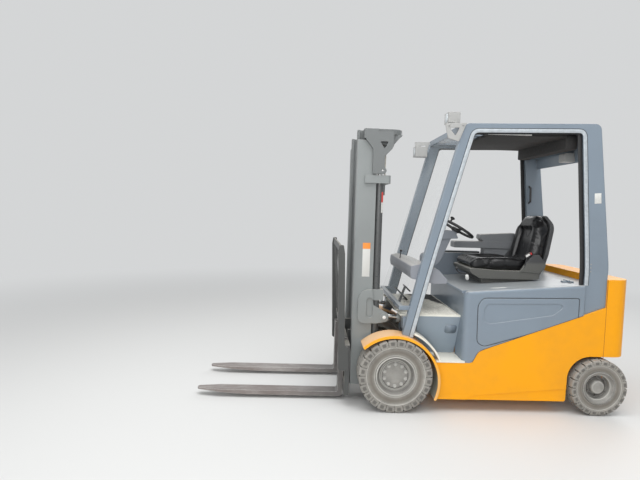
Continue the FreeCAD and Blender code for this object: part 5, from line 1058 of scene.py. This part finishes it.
def banded(name, upper, lower, height):
    """A plate finish whose colour changes at a height above the floor, in millimetres."""
    finish = Finish(name)
    fine = finish.noise(60, 3.0, 0.6)
    band = finish.along("Z").stepped(height * MM - 0.0005, height * MM + 0.0005)
    worn = finish.noise(35, 5.0, 0.7).stepped(0.62, 0.70) * 0.5
    colour = finish.mix(worn, finish.mix(band, lower, upper), (0.36, 0.36, 0.34))
    return finish.set(Base_Color=colour, Roughness=fine * 0.2 + 0.42)


mast_plate = flat_plate("mast_outer_frame", [(206, 1040), (268, 1040), (268, 1318), (206, 1318)], 1.2)
settle(mast_plate, "mast_plate_blank", "mast_outer",
       banded("mast_plate_face", (0.72, 0.24, 0.03), (0.60, 0.60, 0.57), 1268))
pillar_plate = flat_plate("overhead_guard", [(-1573, 1690), (-1519, 1686), (-1515, 1766), (-1567, 1770)], 1.0)
settle(pillar_plate, "pillar_plate_blank", "chassis", plate_white)
rivets = [flat_plate("overhead_guard", oval(-1523, height, 11, 11, corners=14), 1.5)
          for height in (1151, 1181, 1209)]
settle(joined(*rivets), "pillar_rivets", "chassis", bolt_steel)
cup = flat_plate("footwell_sides", oval(-470, 633, 98, 80, 4.0), 2.0, 1.2)
settle(cup, "well_blank_cover", "chassis", paints["blue_grey"])
print("flat plates:", 3 + len(rivets))

# %% A blank two-coloured strip round the left lift cylinder
TUBE, TUBE_AHEAD, TUBE_LEFT = 31.4, 143, 330
STRIP_MIDDLE, STRIP_LENGTH = 1650, 168
clear()
bpy.ops.mesh.primitive_grid_add(x_subdivisions=8, y_subdivisions=1, size=1)
strip = bpy.context.object
for vertex in strip.data.vertices:
    angle = math.radians(118 + 62 * (vertex.co.x + 0.5))
    vertex.co = spot(TUBE_AHEAD + TUBE * math.cos(angle), TUBE_LEFT + TUBE * math.sin(angle),
                     STRIP_MIDDLE + STRIP_LENGTH * vertex.co.y)
modified(strip, "SOLIDIFY", thickness=0.0008, offset=0)
settle(strip, "cylinder_strip", "mast_outer",
       banded("strip_face", (0.62, 0.05, 0.04), (0.70, 0.69, 0.66), STRIP_MIDDLE))
print("strip faces:", len(strip.data.polygons))

# %% [markdown]
# ## Small controls round the seat
# A ball on a bent rod slides the seat, a pale knob sets the driver's weight, and a belt buckle stands on
# its stalk. They are small, but an eye used to these trucks looks for them.

# %% Levers, knob, buckle and the lever on the dash
def rod(points, radius, corner=0.02):
    """A bent bar through points in millimetres."""
    return bent_bar([spot(*point) for point in points], radius, corner=corner)


lever_rod = rod([(-700, 205, 1066), (-590, 205, 1070), (-566, 205, 1088), (-556, 205, 1104)], 0.0045)
lever_ball = turned([(3, 0), (9, 3), (13, 9), (13, 15), (9, 21), (3, 24)], (-558, 205, 1098), (-0.3, 0, 1))
settle(joined(lever_rod, lever_ball), "seat_slide_lever", "hood", paints["black"])
weight_knob = turned([(7, 0), (13, 5), (16, 14), (16, 34), (13, 44), (6, 49)], (-640, 258, 1020),
                     (0.25, 0.35, 1))
settle(weight_knob, "seat_weight_knob", "hood", plate_white)
stalk = rod([(-1120, 242, 1112), (-1136, 244, 1175), (-1146, 244, 1222)], 0.006)
settle(stalk, "belt_stalk", "hood", paints["black"])


def leaning(piece, ahead, height, degrees):
    """The piece turned about the line across the truck through a point, front end down."""
    middle, turn = spot(ahead, 0, height), Matrix.Rotation(math.radians(degrees), 3, "Y")
    for vertex in piece.data.vertices:
        vertex.co = middle + turn @ (vertex.co - middle)
    return piece


for name, low, high, radius, finish in (
        ("belt_buckle", (-1182, 236, 1228), (-1122, 256, 1256), 4, paints["black"]),
        ("belt_buckle_face", (-1166, 250, 1234), (-1127, 257, 1252), 1.5, plate_white),
        ("belt_buckle_button", (-1185, 240, 1232), (-1170, 258, 1251), 2, signal_red)):
    settle(leaning(rounded_block(low, high, radius), -1150, 1242, 33), name, "hood", finish)
dash_rod = rod([(-128, -100, 1150), (-134, -100, 1200), (-137, -100, 1222)], 0.004, 0)
dash_ball = turned([(3, 0), (9, 4), (12, 11), (10, 18), (4, 22)], (-137, -100, 1212))
settle(joined(dash_rod, dash_ball), "dash_lever", "chassis", paints["black"])
tray = rounded_block((-985, -512, 1186), (-640, -446, 1207), 4)
settle(tray, "console_tray", "chassis", dark_liner)
# Painted highlight: a pale rod along the tray's rim.
tray_lip = rod([(-983, -448, 1206), (-642, -448, 1206)], 0.0022)
settle(tray_lip, "console_tray_lip", "chassis", highlight_strip_finish)
print("lever, knob, buckle, dash lever and tray are on")

# %% A pale oval inlay laid on the hood's left edge
OVER_HOOD = 1300
clear()
bpy.ops.mesh.primitive_circle_add(vertices=40, radius=1, fill_type="TRIFAN")
inlay = bpy.context.object
for vertex in inlay.data.vertices:
    ahead, left = -832 + 68 * vertex.co.x, 458 + 15 * vertex.co.y
    met = face_at(frame["nodes"]["hood"], spot(ahead, left, OVER_HOOD), Vector((0, 0, -1)))
    vertex.co = met + Vector((0, 0, 0.0015))
modified(inlay, "SOLIDIFY", thickness=0.002, offset=-1)
settle(inlay, "hood_inlay", "hood", plate_white)
print("inlay faces:", len(inlay.data.polygons))

# %% [markdown]
# ## Headliner and roof light
# Under the grey roof a dark moulded liner hangs between the side frames, deeper at the back. A white strip
# along its edge stands for the daylight that shows there.

# %% Liner, its deep rear part and the light strip
liner = rounded_block((-1330, -470, 2206), (-705, 430, 2233), 8)
deep_end = rounded_block((-1425, -478, 2116), (-1322, 420, 2233), 14)
settle(joined(liner, deep_end), "headliner", "chassis", dark_liner)
daylight = rounded_block((-1040, 425, 2212), (-690, 438, 2231), 3)
settle(daylight, "roof_light_strip", "chassis", light_strip)
print("liner faces:", len(liner.data.polygons))

# %% [markdown]
# ## The floor mat
# A thick rubber mat covers the cab floor, and boots have left pale dust heaped on the side where the
# driver steps in. It is modelled from a fine grid that crossing waves lift a few millimetres, and its
# underside is then brought down to the floor.
# The dust is a mask on place: pale ahead of a slanting line, dark rubber behind it.

# %% Mat with heaped dust
def dusty_mat():
    finish = Finish("dusty_mat")
    broad = finish.noise(14, 5.0, 0.65)
    fine = finish.noise(90, 4.0, 0.7)
    reach = (finish.along("X") - (AXLE_X - 0.495)) * 2.09 + finish.along("Y") - 0.088
    dust = (reach + (broad - 0.5) * 0.12).stepped(-0.03, 0.03)
    pale = finish.mix(fine.stepped(0.35, 0.7), (0.78, 0.76, 0.69), (0.56, 0.54, 0.47))
    colour = finish.mix(dust, (0.055, 0.055, 0.055), pale)
    return finish.set(Base_Color=colour, Roughness=broad * 0.1 + 0.82,
                      Normal=finish.bump(fine, 0.5, 0.002))


floor_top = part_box("cab_floor")[1].z
MAT_FRONT, MAT_BACK, MAT_HALF = -118, -514, 444
clear()
bpy.ops.mesh.primitive_grid_add(x_subdivisions=90, y_subdivisions=160, size=1)
mat = bpy.context.object
for vertex in mat.data.vertices:
    along, across = vertex.co.x + 0.5, vertex.co.y + 0.5
    ahead = MAT_BACK + (MAT_FRONT - MAT_BACK) * along
    left = -MAT_HALF + 2 * MAT_HALF * across
    dip = min(along, 1 - along, across, 1 - across)
    lump = math.sin(ahead / 21 + 1.7 * math.sin(left / 47)) * math.sin(left / 33 + 1.3 * math.sin(ahead / 38))
    rise = 7 + min(1, dip * 14) * (9 + 6.5 * lump + 2 * math.sin(left / 9) * math.sin(ahead / 12))
    vertex.co = spot(ahead, left, floor_top / MM + rise)
in_edit_mode(pushed(0, 0, 0))
for vertex in mat.data.vertices:
    if not vertex.select:
        vertex.co.z = floor_top + 0.0003
in_edit_mode(outwards)
settle(mat, "floor_mat", "chassis", dusty_mat(), 50)
print("mat faces:", len(mat.data.polygons))

# %% [markdown]
# ## Fixings and lenses
# Bright pins, washers and bolt heads catch the eye first on real machinery. A hexagon head is turned with
# six sides at each of its places, and each lamp gets a clear dished lens.

# %% Wheel nuts
NUTS, NUT_CIRCLE, FIRST_NUT, WASHER = 10, 88, 18, 15


def wheel_nuts(rim, centre_height):
    """Nuts on washers round a rim's outer face, with the studs' ends standing out of them."""
    side = 1 if rim.endswith("left") else -1
    made = []
    for k in range(NUTS):
        angle = math.radians(FIRST_NUT + 360 * k / NUTS)
        across, up = math.cos(angle), math.sin(angle)
        ahead, height = NUT_CIRCLE * across, centre_height + NUT_CIRCLE * up
        at = (ahead, outer_face(rim, ahead + WASHER * across, height + WASHER * up, side), height)
        made.append(turned([(15, -1), (15, 2), (13.5, 3)], at, (0, side, 0), 20))
        made.append(turned([(12.2, 2), (12.2, 13), (10.5, 14.5)], at, (0, side, 0), 6))
        made.append(turned([(6, 12), (6, 19), (5, 20)], at, (0, side, 0), 12))
    return joined(*made)


nut_finish = plain("wheel_nut", (0.50, 0.49, 0.46), 0.55, 90.0)
for rim in ("front_rim_left", "front_rim_right"):
    low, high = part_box(rim)
    nuts = wheel_nuts(rim, (low.z + high.z) / 2 / MM)
    settle(nuts, rim.replace("rim", "nuts"), rim.replace("rim", "wheel"), nut_finish)
    print(nuts.name, "faces", len(nuts.data.polygons))

# %% Pins, bolts and lenses
def bolt_head(at, along, across):
    washer = turned([(across * 1.15, -0.5), (across * 1.15, 1.5)], at, along, 20)
    head = turned([(across, 1), (across, 6), (across * 0.86, 7)], at, along, 6)
    return joined(washer, head)


PIN_AHEAD, PIN_HEIGHT = 76, 712
pins, bolts, lenses = [], [], []
for side in (-1, 1):
    at = (PIN_AHEAD, outer_face("mast_outer_frame", PIN_AHEAD, PIN_HEIGHT, side), PIN_HEIGHT)
    pins.append(turned([(14.5, -1), (14.5, 2), (12, 3.5)], at, (0, side, 0)))
    for ahead, height in ((-345, 2250), (-452, 2258)):
        bolts.append(bolt_head((ahead, outer_face("work_lamps", ahead, height, side) or GUARD_Y + 8, height),
                               (0, side, 0), 6))
settle(joined(*pins), "tilt_pin_ends", "mast_outer", pin_bright)
settle(joined(*bolts), "lamp_bolts", "chassis", bolt_steel)
lens_finish = plain("lens_glass", (0.62, 0.66, 0.68), 0.12, 12.0)
for low, high in (((-445, 372, 2286), (-353, 488, 2368)), ((-404, -484, 2110), (-290, -372, 2205))):
    middle = [(a + b) / 2 for a, b in zip(low, high)]
    lenses.append(turned([(34, -2), (38, 0), (38, 3), (34, 4), (20, 6.5), (5, 7.5)],
                         (high[0] - 1, middle[1], middle[2]), (1, 0, 0), 36))
settle(joined(*lenses), "lamp_lenses", "chassis", lens_finish)
print("fixings:", len(pins) + len(bolts) + len(lenses))

# %% [markdown]
